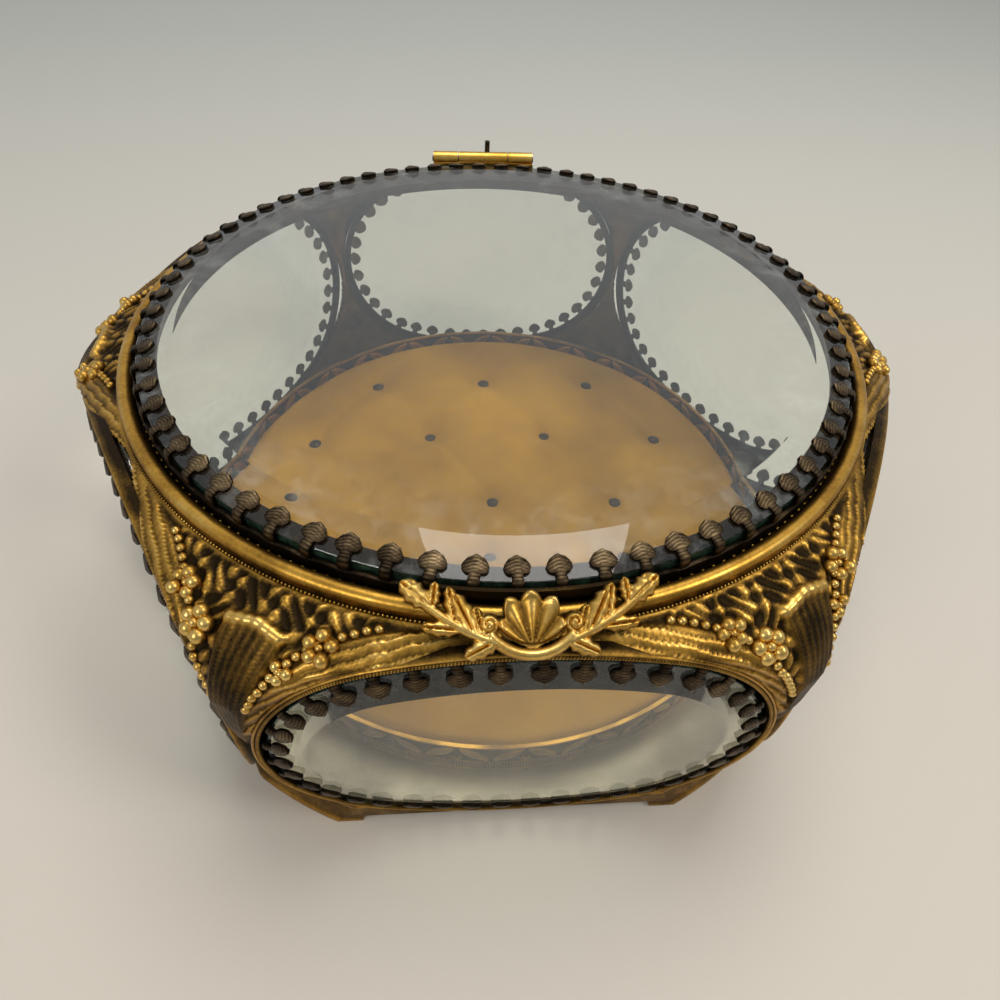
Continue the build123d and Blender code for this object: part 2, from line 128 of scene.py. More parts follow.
def fromSegment(x, y, start, end):
    # distance of places from a straight segment
    (ax, ay), (bx, by) = start, end
    length = math.hypot(bx - ax, by - ay)
    t = np.clip(((x - ax) * (bx - ax) + (y - ay) * (by - ay)) / length ** 2, 0, 1)
    return np.hypot(x - ax - t * (bx - ax), y - ay - t * (by - ay))


def capFaces(rows, count):
    return [np.arange(count)[None, ::-1], (rows - 1) * count + np.arange(count)[None, :]]


def wholeCells(keepPoint):
    return keepPoint[:-1, :-1] & keepPoint[1:, :-1] & keepPoint[1:, 1:] & keepPoint[:-1, 1:]


def gridFaces(rows, columns, closeRows=False, closeColumns=False):
    i = np.arange(rows if closeRows else rows - 1)
    j = np.arange(columns if closeColumns else columns - 1)
    i, j = np.meshgrid(i, j, indexing="ij")
    nextI, nextJ = (i + 1) % rows, (j + 1) % columns
    corners = (i * columns + j, nextI * columns + j, nextI * columns + nextJ, i * columns + nextJ)
    return np.stack(corners, -1).reshape(-1, 4)


def turned(profile, count, closed=True):
    # millimetre section (radius, height) turned about the middle axis
    profile = np.asarray(profile, float)
    points = ringPoints(profile[:, :1], roundTurn(count), profile[:, 1:])
    rows = len(profile)
    faces = [gridFaces(rows, count, closeRows=closed, closeColumns=True)]
    if not closed:
        faces += capFaces(rows, count)
    return points.reshape(-1, 3), faces


def copied(part, places):
    # copies of a part, each place an origin and three axis directions
    points, faces = part
    origins, axes = places
    moved = np.einsum("pk,nkc->npc", points, axes) + origins[:, None, :]
    shift = np.arange(len(origins)) * len(points)
    return moved.reshape(-1, 3), [
        (f[None] + shift[:, None, None]).reshape(-1, f.shape[1]) for f in faces]


def makeMesh(name, parts, closed=True):
    points, loops, sizes, shift = [], [], [], 0
    for partPoints, faceSets in parts:
        points.append(partPoints)
        for faces in faceSets:
            loops.append((np.asarray(faces) + shift).ravel())
            sizes.append(np.full(len(faces), np.asarray(faces).shape[1]))
        shift += len(partPoints)
    points, loops, sizes = np.concatenate(points), np.concatenate(loops), np.concatenate(sizes)
    mesh = bpy.data.meshes.new(name)
    mesh.vertices.add(len(points))
    mesh.vertices.foreach_set("co", (points * 0.001).astype(np.float32).ravel())
    mesh.loops.add(len(loops))
    mesh.loops.foreach_set("vertex_index", loops.astype(np.int32))
    mesh.polygons.add(len(sizes))
    starts = np.concatenate([[0], np.cumsum(sizes)[:-1]])
    mesh.polygons.foreach_set("loop_start", starts.astype(np.int32))
    mesh.update(calc_edges=True)
    if closed:
        shell = bmesh.new()
        shell.from_mesh(mesh)
        bmesh.ops.recalc_face_normals(shell, faces=shell.faces)
        shell.to_mesh(mesh)
        shell.free()
    return mesh


def makePiece(name, body, material, parts, sharp=35, standsFor=(), closed=True,
              recess=None):
    # one finished piece of the casket, riding on its CAD body; recess says how sunk each point is, and on the
    # casting pearls and petals it also carries a painted highlight and painted shade
    mesh = makeMesh(name, parts, closed)
    mesh.materials.append(material)
    mesh.shade_smooth()
    mesh.set_sharp_from_angle(angle=math.radians(sharp))
    piece = bpy.data.objects.new(name, mesh)
    bpy.context.scene.collection.objects.link(piece)
    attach(piece, body)
    if standsFor:
        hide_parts(*standsFor)
    if recess is not None:
        layer = mesh.attributes.new("recess", "FLOAT", "POINT")
        layer.data.foreach_set("value", np.asarray(recess, np.float32))
    return piece


# Antique gilt: spelter and brass plated with thin gold, then left with brown patina in the low places
giltLooks = {
    "giltCasting": {"stops": [(0.10, "#f0cf7e"), (0.38, "#b98d3c"), (0.62, "#6a4f22"), (0.86, "#2a2012")],
                    "patchSize": 9.0, "patchStrength": 0.7, "grainSize": 0.5, "base": 0.04,
                    "smooth": 0.24, "dull": 0.62, "bump": 0.05},
    "giltRolled": {"stops": [(0.12, "#f2cf78"), (0.45, "#c2933c"), (0.70, "#7c5a24"), (0.92, "#33240f")],
                   "patchSize": 12.0, "patchStrength": 0.8, "grainSize": 0.7, "base": 0.12,
                   "smooth": 0.22, "dull": 0.5, "bump": 0.02},
    "prongBronze": {"stops": [(0.12, "#c9b078"), (0.40, "#77654a"), (0.66, "#473a2a"), (0.90, "#1d1710")],
                    "patchSize": 5.0, "patchStrength": 0.9, "grainSize": 0.6, "base": 0.12,
                    "smooth": 0.28, "dull": 0.6, "bump": 0.03},
    "sheetBrass": {"stops": [(0.05, "#948b75"), (0.40, "#736b59"), (0.70, "#4f493d"), (0.95, "#2f2b24")],
                   "patchSize": 11.0, "patchStrength": 0.7, "grainSize": 0.6, "base": 0.12,
                   "smooth": 0.30, "dull": 0.6, "bump": 0.03},
    "darkSteel": {"stops": [(0.05, "#5a544b"), (0.40, "#35312b"), (0.70, "#211e1a"), (0.95, "#12100e")],
                  "patchSize": 3.0, "patchStrength": 0.6, "grainSize": 0.4, "base": 0.2,
                  "smooth": 0.30, "dull": 0.55, "bump": 0.02},
}


def giltMetal(name):
    # plated metal keeps its polish on the worn ridges and turns matt brown where patina stays; through the
    # recess attribute the casting pearls and petals also get a painted highlight and painted shade
    look = giltLooks[name]
    material, tree = newMaterial(name)
    place = objectPlace(tree)
    recess = addNode(tree, "ShaderNodeAttribute", {"attribute_name": "recess"}).outputs["Fac"]
    patches = noise(tree, place, 1000 / look["patchSize"], 6.0, 0.62)
    grain = noise(tree, place, 1000 / look["grainSize"], 3.0)
    spread = compute(tree, "MULTIPLY_ADD", patches, look["patchStrength"], look["base"] - 0.12)
    fine = compute(tree, "MULTIPLY_ADD", grain, 0.28, -0.14)
    dark = compute(tree, "MULTIPLY_ADD", recess, 0.72, compute(tree, "ADD", spread, fine), clamp=True)
    metal = addNode(tree, "ShaderNodeBsdfPrincipled", {"Metallic": 1.0},
                    {"Base Color": ramp(tree, dark, look["stops"]),
                     "Roughness": remap(tree, dark, 0.0, 1.0, look["smooth"], look["dull"]),
                     "Normal": bumped(tree, grain, 0.6, look["bump"] * 0.001)})
    surface(tree, metal)
    return material


metals = {name: giltMetal(name) for name in giltLooks}
print("gilt metals ready:", len(metals))

# Bevelled plate glass: clear, with dust and old haze where cloths don't reach
glassLook = {"tint": "#f4f7f4", "haze": "#d9dcd6", "specks": 0.45, "cloud": 7.0, "roughness": 0.012}


def clearGlass(name, hazeFrom, hazeTo, middle):
    # plate glass lets lamps through; haze grows from hazeFrom to hazeTo millimetres from the middle
    material, tree = newMaterial(name)
    place = objectPlace(tree)
    offset = addNode(tree, "ShaderNodeVectorMath", {"operation": "SUBTRACT", 1: middle}, {0: place})
    length = addNode(tree, "ShaderNodeVectorMath", {"operation": "LENGTH"}, {0: offset.outputs[0]})
    ring = remap(tree, length.outputs["Value"], hazeFrom * 0.001, hazeTo * 0.001, 0.0, 0.17)
    cloud = noise(tree, place, 1000 / glassLook["cloud"], 8.0, 0.7)
    specks = noise(tree, place, 1000 / glassLook["specks"], 2.0)
    haze = compute(tree, "MULTIPLY", ring, remap(tree, cloud, 0.50, 0.72))
    dirt = compute(tree, "MULTIPLY_ADD", ring, remap(tree, specks, 0.62, 0.72, 0.0, 0.4), 0.006)
    both = compute(tree, "ADD", haze, dirt, clamp=True)
    glass = addNode(tree, "ShaderNodeBsdfPrincipled", {"Base Color": toLinear(glassLook["tint"]),
                    "Roughness": glassLook["roughness"], "IOR": 1.5, "Transmission Weight": 1.0})
    clear = addNode(tree, "ShaderNodeBsdfTransparent", {"Color": (0.93, 0.95, 0.93, 1)})
    rays = addNode(tree, "ShaderNodeLightPath")
    lit = addNode(tree, "ShaderNodeMixShader", links={0: rays.outputs["Is Shadow Ray"],
                  1: glass.outputs[0], 2: clear.outputs[0]})
    film = addNode(tree, "ShaderNodeBsdfPrincipled", {"Base Color": toLinear(glassLook["haze"]),
                   "Roughness": 0.8})
    surface(tree, addNode(tree, "ShaderNodeMixShader", links={0: both, 1: lit.outputs[0],
                                                              2: film.outputs[0]}))
    return material


def groundEdge():
    # the ground edge of plate glass looks deep bottle green, because light runs along the sheet
    material, tree = newMaterial("groundGlassEdge")
    streak = noise(tree, objectPlace(tree), 600.0, 4.0)
    colour = ramp(tree, streak, [(0.35, "#101c16"), (0.70, "#2f4a3a")])
    edge = addNode(tree, "ShaderNodeBsdfPrincipled", {"Roughness": 0.22, "IOR": 1.5,
                   "Coat Weight": 0.5, "Coat Roughness": 0.1}, {"Base Color": colour})
    surface(tree, edge)
    return material


lidGlassMaterial = clearGlass("bevelledLidGlass", 60.0, 80.0, (0.0, 0.0, 0.08))
edgeMaterial = groundEdge()

# Round bevelled lid glass
lidGlass = {"radius": 82.25, "floor": 78.1, "edge": 81.0, "top": 83.0, "bevel": 8.2, "arris": 0.15,
            "hub": 0.6, "steps": 384}
radius, floor, edge, arris, hub = (lidGlass[k] for k in ("radius", "floor", "edge", "arris", "hub"))
glassSection = [(hub, lidGlass["top"]), (radius - lidGlass["bevel"], lidGlass["top"]), (radius - arris, edge),
                (radius, edge - arris), (radius, floor + arris), (radius - arris, floor), (hub, floor)]
lidPane = makePiece("lidPane", "lid", lidGlassMaterial,
                    [turned(glassSection, lidGlass["steps"], closed=False)], sharp=5,
                    standsFor=("lid_glass",))
lidPane.data.materials.append(edgeMaterial)
for face in lidPane.data.polygons:
    if len(face.vertices) == 4 and abs(face.normal.z) < 0.3:
        face.material_index = 1
print("lid glass made")

# Four-centre outline of the side windows
windowOval = {"middle": 38.8, "halfWidth": 49.4155, "halfHeight": 34.4, "endRadius": 32.0}
endCentre, endRise = (windowOval[k] - windowOval["endRadius"] for k in ("halfWidth", "halfHeight"))
windowOval["centre"] = endCentre
windowOval["drop"] = (endCentre ** 2 - endRise ** 2) / (2 * endRise)
windowOval["sideRadius"] = windowOval["halfHeight"] + windowOval["drop"]
windowOval["sweep"] = math.degrees(math.atan2(windowOval["drop"], endCentre))


def ovalLine(count):
    # even steps round the outline: places (across, up) and the direction outwards
    end = math.radians(windowOval["sweep"])
    side = math.pi / 2 - end
    r, s = windowOval["endRadius"], windowOval["sideRadius"]
    lengths = [r * 2 * end, s * 2 * side, r * 2 * end, s * 2 * side]
    centres = [(windowOval["centre"], 0), (0, -windowOval["drop"]), (-windowOval["centre"], 0),
               (0, windowOval["drop"])]
    starts = [-end, end, math.pi - end, math.pi + end]
    radii = [r, s, r, s]
    bounds = np.concatenate([[0], np.cumsum(lengths)])
    at = np.arange(count) * bounds[-1] / count
    which = np.clip(np.searchsorted(bounds, at, side="right") - 1, 0, 3)
    radius = np.array(radii)[which]
    angle = np.array(starts)[which] + (at - bounds[which]) / radius
    out = np.stack([np.cos(angle), np.sin(angle)], -1)
    return np.array(centres)[which] + out * radius[:, None], out, bounds[-1]


def atWindow(flat, turn):
    # (across, distance, up) of a window to the casket's frame
    x, y, z = flat[..., 0], -flat[..., 1], flat[..., 2] + windowOval["middle"]
    c, s = math.cos(turn), math.sin(turn)
    return np.stack([c * x - s * y, s * x + c * y, z], -1)


def swept(section, count, closed=True):
    # section (grow, distance) carried round the window outline, in window coordinates
    places, out, _ = ovalLine(count)
    section = np.asarray(section, float)
    flat = places[None] + section[:, None, :1] * out[None]
    points = np.stack([flat[..., 0], np.broadcast_to(section[:, 1:], flat.shape[:2]), flat[..., 1]], -1)
    rows = len(section)
    faces = [gridFaces(rows, count, closeRows=closed, closeColumns=True)]
    if not closed:
        faces += capFaces(rows, count)
    return points.reshape(-1, 3), faces


# Bevelled side panes
sidePane = {"grow": -1.1, "back": 89.6, "edge": 91.8, "face": 93.2, "bevel": 7.0, "arris": 0.12, "steps": 240}
paneGlass = clearGlass("bevelledPaneGlass", 88.0, 112.0, (0.0, 0.0, 0.04))
grow, back, edge, arris, steps = (sidePane[k] for k in ("grow", "back", "edge", "arris", "steps"))
paneSection = [(grow - sidePane["bevel"], sidePane["face"]), (grow - arris, edge), (grow, edge - arris),
               (grow, back + arris), (grow - arris, back)]
panePoints, paneFaces = swept(paneSection, steps, closed=False)
for number, place in enumerate(windowNames):
    pane = makePiece(f"sidePane_{place}", "base", paneGlass,
                     [(atWindow(panePoints, number * math.pi / 3), paneFaces)], sharp=5,
                     standsFor=(f"window_pane_{place}",))
    pane.data.materials.append(edgeMaterial)
    for index in range(steps, 3 * steps):
        pane.data.polygons[index].material_index = 1
print("side panes made")

# Prongs: a neck up the glass edge, and a spade head laid along the bevel
prongShape = {"neck": 1.05, "metal": 0.7, "dome": 0.2, "slope": 0.235, "foot": -2.5, "columns": 8,
              "cutPitch": 0.62, "cutDepth": 0.05}


def prongPart():
    slope = prongShape["slope"]
    lift = 0.1 + prongShape["metal"] / 2
    along = [(0.0, prongShape["foot"]), (0.0, -1.9), (0.0, -1.3), (0.0, -0.8), (0.0, -0.35)]
    for turn in (25, 50, 72):
        a = math.radians(turn)
        along.append((0.80 - 0.80 * math.cos(a), -0.35 + 0.84 * math.sin(a)))
    for y in np.concatenate([np.linspace(0.8, 1.6, 4), np.linspace(1.75, 4.8, 24), [4.88, 4.94]]):
        along.append((y, (y - 0.65) * slope + lift))
    along = np.array(along)
    step = np.gradient(along, axis=0)
    step /= np.linalg.norm(step, axis=1)[:, None]
    normal = np.stack([-step[:, 1], step[:, 0]], -1)
    y = along[:, 0]
    lobe = np.where(abs(y - 2.85) < 1.2, 1.1 + np.sqrt(np.clip(1.44 - (y - 2.85) ** 2, 0, None)), 0)
    tip = np.sqrt(np.clip(1.45 - (y - 3.75) ** 2, 0, None))
    taper = np.interp(y, [2.8, 3.3, 4.4, 4.9], [0, 2.25, 1.45, 0])
    neck = np.where(y < 2.2, prongShape["neck"] - 0.12 * np.exp(-((y - 1.2) / 0.4) ** 2), 0)
    half = np.clip(np.max([lobe, tip * (y > 2.8), taper, neck], axis=0), 0.12, None)
    across = np.linspace(-1, 1, prongShape["columns"])
    isHead = np.clip((y - 1.7) / 0.5, 0, 1)[:, None]
    dome = (1 - across[None] ** 2) * prongShape["dome"] * (0.35 + 0.65 * isHead)
    flow = y[:, None] + 0.35 * np.abs(across[None]) * half[:, None]
    travel = travelAlong(along)[:, None]
    ribs = waves(np.where(isHead > 0.5, flow, travel) / prongShape["cutPitch"])
    edge = 0.16 * across[None] ** 4
    top = prongShape["metal"] / 2 + dome - prongShape["cutDepth"] * ribs * (1 - across[None] ** 6) - edge
    low = np.full_like(top, -prongShape["metal"] / 2)
    height = np.concatenate([top, low[:, ::-1]], 1)
    side = np.concatenate([across, across[::-1]])[None] * half[:, None]
    spots = along[:, None, :] + height[..., None] * normal[:, None, :]
    points = np.stack([side, spots[..., 0], spots[..., 1]], -1)
    rows, columns = points.shape[:2]
    faces = [gridFaces(rows, columns, closeColumns=True)] + capFaces(rows, columns)
    recess = np.concatenate([0.38 * ribs * np.ones_like(top) + 0.3 * np.abs(across[None]) ** 3,
                             np.ones_like(low)], 1)
    recess = np.where(y[:, None] < 1.6, recess + 0.15, recess)
    return (points.reshape(-1, 3), faces), recess.ravel()


def prongPlaces(origins, inward, up):
    # each prong sits a little out of true, as hand-closed prongs do
    across = np.cross(inward, up)
    lean = chance.normal(0, 0.05, len(origins))[:, None]
    size = (1 + chance.normal(0, 0.03, len(origins)))[:, None]
    tilted = inward + lean * across
    tilted /= np.linalg.norm(tilted, axis=1)[:, None]
    side = np.cross(tilted, up)
    drop = chance.normal(0, 0.02, len(origins))[:, None]
    return origins + up * drop, np.stack([side * size, tilted, up], 1)


prong, prongRecess = prongPart()

# Cut strip round the lid glass with its prongs
lidStrip = {"count": 71, "middle": 82.9, "inner": 82.45, "outer": 83.35, "base": 75.6, "seat": 78.1,
            "top": 78.9}
radial = ringPoints(1.0, roundTurn(lidStrip["count"]), 0.0)
upward = np.tile([0.0, 0.0, 1.0], (lidStrip["count"], 1))
origins = radial * lidStrip["middle"] + upward * lidGlass["edge"]
lidProngs = copied(prong, prongPlaces(origins, -radial, upward))


def scallopedWall(strip, steps, perProng, bump):
    # thin upright wall whose top edge rises between the prongs
    angle = roundTurn(steps)
    wave = 0.5 - 0.5 * np.cos(angle * perProng)
    top = strip["top"] + bump * wave
    rows = [(strip["outer"], strip["base"] + 0 * top), (strip["outer"], strip["seat"] + 0 * top),
            (strip["outer"], top - 0.1), (strip["outer"] - 0.15, top), (strip["inner"] + 0.15, top),
            (strip["inner"], top - 0.1), (strip["inner"], strip["base"] + 0 * top)]
    points = np.stack([ringPoints(r, angle, z) for r, z in rows])
    return points.reshape(-1, 3), [gridFaces(len(rows), steps, closeRows=True, closeColumns=True)]


wall = scallopedWall(lidStrip, lidStrip["count"] * 16, lidStrip["count"], 0.35)
makePiece("lidProngStrip", "lid", metals["prongBronze"], [lidProngs, wall],
          standsFor=("lid_bezel",),
          recess=np.concatenate([np.tile(prongRecess, lidStrip["count"]), np.full(len(wall[0]), 0.55)]))
print("lid prongs made")

# Prong strips of the side windows
windowStrip = {"count": 38, "middle": -0.45, "inner": -0.9, "steps": 288, "low": 89.1, "top": 90.4,
               "lip": -2.1}
count, inner, low, top, lip = (windowStrip[k] for k in ("count", "inner", "low", "top", "lip"))
stripSection = [(0, low), (0, top - 0.1), (-0.12, top), (inner + 0.12, top), (inner, top - 0.1),
                (inner, sidePane["back"]), (lip, sidePane["back"]), (lip, low)]
stripPoints, stripFaces = swept(stripSection, windowStrip["steps"])
ovalPlaces, ovalOut, _ = ovalLine(count)
flat = ovalPlaces + ovalOut * windowStrip["middle"]
feet = np.stack([flat[:, 0], np.full(count, sidePane["edge"]), flat[:, 1]], -1)
ends = np.stack([ovalOut[:, 0], 0 * ovalOut[:, 0], ovalOut[:, 1]], -1)
for number, place in enumerate(windowNames):
    angle = number * math.pi / 3
    middle = atWindow(np.zeros((1, 3)), angle)
    outwards = atWindow(ends, angle) - middle
    forward = atWindow(np.tile([0.0, 1.0, 0.0], (count, 1)), angle) - middle
    heads = copied(prong, prongPlaces(atWindow(feet, angle), -outwards, forward))
    makePiece(f"windowProngStrip_{place}", "base", metals["prongBronze"],
              [heads, (atWindow(stripPoints, angle), stripFaces)], standsFor=(f"window_bezel_{place}",),
              recess=np.concatenate([np.tile(prongRecess, count) + 0.12, np.full(len(stripPoints), 0.8)]))
print("window prongs made")

# Raised frame of each window: a flat margin and a rope line on the inner edge
windowFrame = {"steps": 1900, "inner": 0.1, "outer": 1.8, "back": 89.6, "front": 92.5, "rope": 0.58,
               "margin": [(1.02, 0.75, 0.9), (1.2, 0.35, 0.3), (1.5, 0.28, 0.15), (1.75, 0.55, 0.4)]}


def ropeFrame():
    # rows of (growth, distance, recess) carried round the opening
    places, out, length = ovalLine(windowFrame["steps"])
    travel = np.arange(windowFrame["steps"]) / windowFrame["steps"]
    twist = 2 * math.pi * round(length / windowFrame["rope"]) * travel
    inner, outer, back, front = (windowFrame[k] for k in ("inner", "outer", "back", "front"))
    rows = [(inner, back, 0.9), (inner, front - 1.2, 0.7)]
    for k in range(7):  # rope: a half round, ridged on the slant
        a = math.pi * k / 6
        strand = 0.5 + 0.5 * np.cos(twist + 1.6 * k / 6 * math.pi)
        size = 0.42 + 0.10 * strand
        rows.append((inner + 0.5 - size * math.cos(a) * 0.95, front - 0.55 + size * math.sin(a),
                     0.75 - 0.75 * strand * math.sin(a)))
    rows += [(grow, front - drop, shade) for grow, drop, shade in windowFrame["margin"]]
    rows += [(outer, front - 1.6, 0.8), (outer, back, 0.9)]
    points = []
    for grow, distance, _ in rows:
        flat = places + out * (grow + 0 * twist)[:, None]
        points.append(np.stack([flat[:, 0], distance + 0 * twist, flat[:, 1]], -1))
    recess = np.stack([shade + 0 * twist for _, _, shade in rows])
    faces = [gridFaces(len(rows), windowFrame["steps"], closeRows=True, closeColumns=True)]
    return np.stack(points).reshape(-1, 3), faces, recess.ravel()


framePoints, frameFaces, frameRecess = ropeFrame()
for number, place in enumerate(windowNames):
    makePiece(f"windowFrame_{place}", "base", metals["giltCasting"],
              [(atWindow(framePoints, number * math.pi / 3), frameFaces)], sharp=50,
              standsFor=(f"window_frame_{place}",), recess=frameRecess)
print("window frames made")


def arcPoints(centre, radius, start, end, count):
    angle = np.radians(np.linspace(start, end, count))
    return [(centre[0] + radius * math.cos(a), centre[1] + radius * math.sin(a)) for a in angle]


def ballPart(rings=6, around=10):
    # ball with poles cut flat, for beads and pearls; radius 1
    tilt = np.linspace(0.12, math.pi - 0.12, rings)
    profile = np.stack([np.sin(tilt), np.cos(tilt)], -1)
    return turned(profile, around, closed=False)


def onTurns(part, count, radius, height, size):
    # beads on a circle about the middle axis
    origins = ringPoints(radius, roundTurn(count), height)
    return copied(part, (origins, np.tile(np.eye(3) * size, (count, 1, 1))))


def millLine(count, radius, height, size, perGrain=6):
    # fine milled line: a ridge with a wave along it
    steps = count * perGrain
    angle = roundTurn(steps)
    wave = 0.72 + 0.28 * np.cos(angle * count)
    rows = []
    for a in np.radians([-20, 30, 80, 130, 200]):
        r, z = radius + size * wave * math.cos(a), height + size * wave * math.sin(a)
        rows.append(ringPoints(r, angle, z))
    points = np.stack(rows)
    recess = np.tile(1 - (wave - 0.44) / 0.56, (len(rows), 1))
    return (points.reshape(-1, 3), [gridFaces(len(rows), steps, True, True)]), recess.ravel()


bead = ballPart()

# Rolled rim moulding of the base, with a milled line where it meets the castings
rimRoll = {"inner": 78.0, "outer": 87.25, "floor": 72.0, "seat": 74.2, "middle": (85.65, 76.8),
           "radius": 1.6, "rollSteps": 14, "shoulder": 75.2, "lip": (84.05, 75.6), "steps": 512,
           "mill": (700, 87.3, 75.15, 0.32)}
inner, outer, floor, seat, lip = (rimRoll[k] for k in ("inner", "outer", "floor", "seat", "lip"))
rollTop = arcPoints(rimRoll["middle"], rimRoll["radius"], 0, 180, rimRoll["rollSteps"])
rollSection = [(inner, floor), (outer, floor), (outer, rimRoll["shoulder"])] + rollTop + [
               lip, (lip[0], seat), (inner, seat)]
millOuter, millRecess = millLine(*rimRoll["mill"])
shade = np.zeros((len(rollSection), rimRoll["steps"]))
shade[:3], shade[-3:] = 0.8, 0.9
shade[3:-3] = np.interp(np.arange(rimRoll["rollSteps"]), [0, 4, 8, 13], [0.35, 0.0, 0.25, 0.8])[:, None]
makePiece("rimMoulding", "base", metals["giltRolled"],
          [turned(rollSection, rimRoll["steps"]), millOuter], standsFor=("base_top_ring",),
          recess=np.concatenate([shade.ravel(), millRecess]))

# Lid ring with its row of beads
lidSeat = {"inner": 77.5, "outer": 83.75, "base": 74.5, "flange": 75.6, "wall": 82.35, "seat": 78.1,
           "arris": 0.15, "steps": 384, "beads": 218, "beadRadius": 0.36, "beadRing": (83.42, 75.95)}
inner, outer, base, flange, upright, seat, arris = (
    lidSeat[k] for k in ("inner", "outer", "base", "flange", "wall", "seat", "arris"))
seatSection = [(inner, base), (outer - arris, base), (outer, base + arris), (outer, flange - arris),
               (outer - arris, flange), (upright, flange), (upright, seat), (inner + arris, seat),
               (inner, seat - arris)]
seatShape = turned(seatSection, lidSeat["steps"])
beadRow = onTurns(bead, lidSeat["beads"], *lidSeat["beadRing"], lidSeat["beadRadius"])
makePiece("lidRing", "lid", metals["giltRolled"], [seatShape, beadRow],
          standsFor=("lid_ring",),
          recess=np.concatenate([np.full(len(seatShape[0]), 0.75), np.zeros(len(beadRow[0]))]))
print("rim and lid ring made")

# Corner castings: a relief skin over the rounded hexagon, cut round the window frames
cornerCasting = {"apothem": 92.0, "round": 8.0, "wall": 2.4, "arc": 98.0, "limit": 105.4,
                 "profile": [(100.5, 0.0), (98.5, 8.0), (105.2, 54.0)], "dome": (98.775, 69.6),
                 "top": (87.35, 74.8), "lift": 3.0, "footHalf": 16.5, "clear": 1.9,
                 "pearl": 0.92, "pearlPitch": 2.05, "pearlRow": 2.9, "pearlFrom": 46,
                 "leaf": (40, 79.0), "waist": (11, 33), "waistHalf": 7.5, "foot": 10.5,
                 "flowers": [(-8.4, 72.5, 5, 2.15, 1.55), (-14.6, 77.0, 5, 1.9, 1.35),
                             (14.8, 77.0, 5, 2.0, 1.4), (9.6, 71.2, 3, 1.3, 1.1)]}


def circleThrough(a, b, c):
    # centre of the circle through three section points
    ax, ay, bx, by, cx, cy = *a, *b, *c
    d = 2 * (ax * (by - cy) + bx * (cy - ay) + cx * (ay - by))
    aa, bb, cc = ax ** 2 + ay ** 2, bx ** 2 + by ** 2, cx ** 2 + cy ** 2
    return ((aa * (by - cy) + bb * (cy - ay) + cc * (ay - by)) / d,
            (aa * (cx - bx) + bb * (ax - cx) + cc * (bx - ax)) / d)


def hexagonReach(angle, apothem, rounding):
    # distance from the middle axis to the rounded hexagon, at an angle off a corner
    centre = (apothem - rounding) / math.cos(math.pi / 6)
    flat = apothem / np.cos(math.pi / 6 - np.abs(angle))
    curve = centre * np.cos(angle) + np.sqrt(np.clip(rounding ** 2 - (centre * np.sin(angle)) ** 2, 0, None))
    tangent = math.atan2(rounding / 2, centre + rounding * math.cos(math.pi / 6))
    return np.where(np.abs(angle) < tangent, curve, flat)


def ovalDistance(across, up):
    # how far a place lies outside the window outline
    across, up = np.abs(across), np.abs(up)
    atEnd = np.arctan2(up, across - windowOval["centre"]) < math.radians(windowOval["sweep"])
    end = np.hypot(across - windowOval["centre"], up) - windowOval["endRadius"]
    side = np.hypot(across, up + windowOval["drop"]) - windowOval["sideRadius"]
    return np.where(atEnd, end, side)


def windowAcross(x, y, turn):
    return -x * math.sin(turn) + y * math.cos(turn)


def windowDeep(x, y, turn):
    return x * math.cos(turn) + y * math.sin(turn)


def ridge(value, width):
    return np.exp(-(value / width) ** 2)


def steppedEdge(value, width):
    return 0.5 + 0.5 * np.tanh(value / width)


def blended(old, new, mask):
    return old * (1 - mask) + mask * new


def cornerProfile():
    # section points from the foot up the cheek and over the dome, with directions outwards
    foot, ankle, cheek = cornerCasting["profile"]
    dome, top = cornerCasting["dome"], cornerCasting["top"]
    radii, heights = zip(foot, ankle, cheek)
    levels = np.concatenate([np.linspace(0, 3, 7), np.arange(3.4, ankle[1], 0.4),
                             np.linspace(ankle[1], cheek[1], 116)])
    points = [(np.interp(z, heights, radii), z) for z in levels]
    cx, cy = circleThrough(cheek, dome, top)
    radius = math.hypot(cheek[0] - cx, cheek[1] - cy)
    start, end = math.atan2(cheek[1] - cy, cheek[0] - cx), math.atan2(top[1] - cy, top[0] - cx)
    for a in np.linspace(start, end, 72)[1:]:
        points.append((cx + radius * math.cos(a), cy + radius * math.sin(a)))
    points = np.array(points)
    step = np.gradient(points, axis=0)
    step /= np.linalg.norm(step, axis=1)[:, None]
    return points, np.stack([step[:, 1], -step[:, 0]], -1)


def bandWidth(v):
    return np.interp(v, [30, 45, 55, 65, 75, 82], [0.3, 1.0, 1.9, 3.2, 4.6, 5.4])


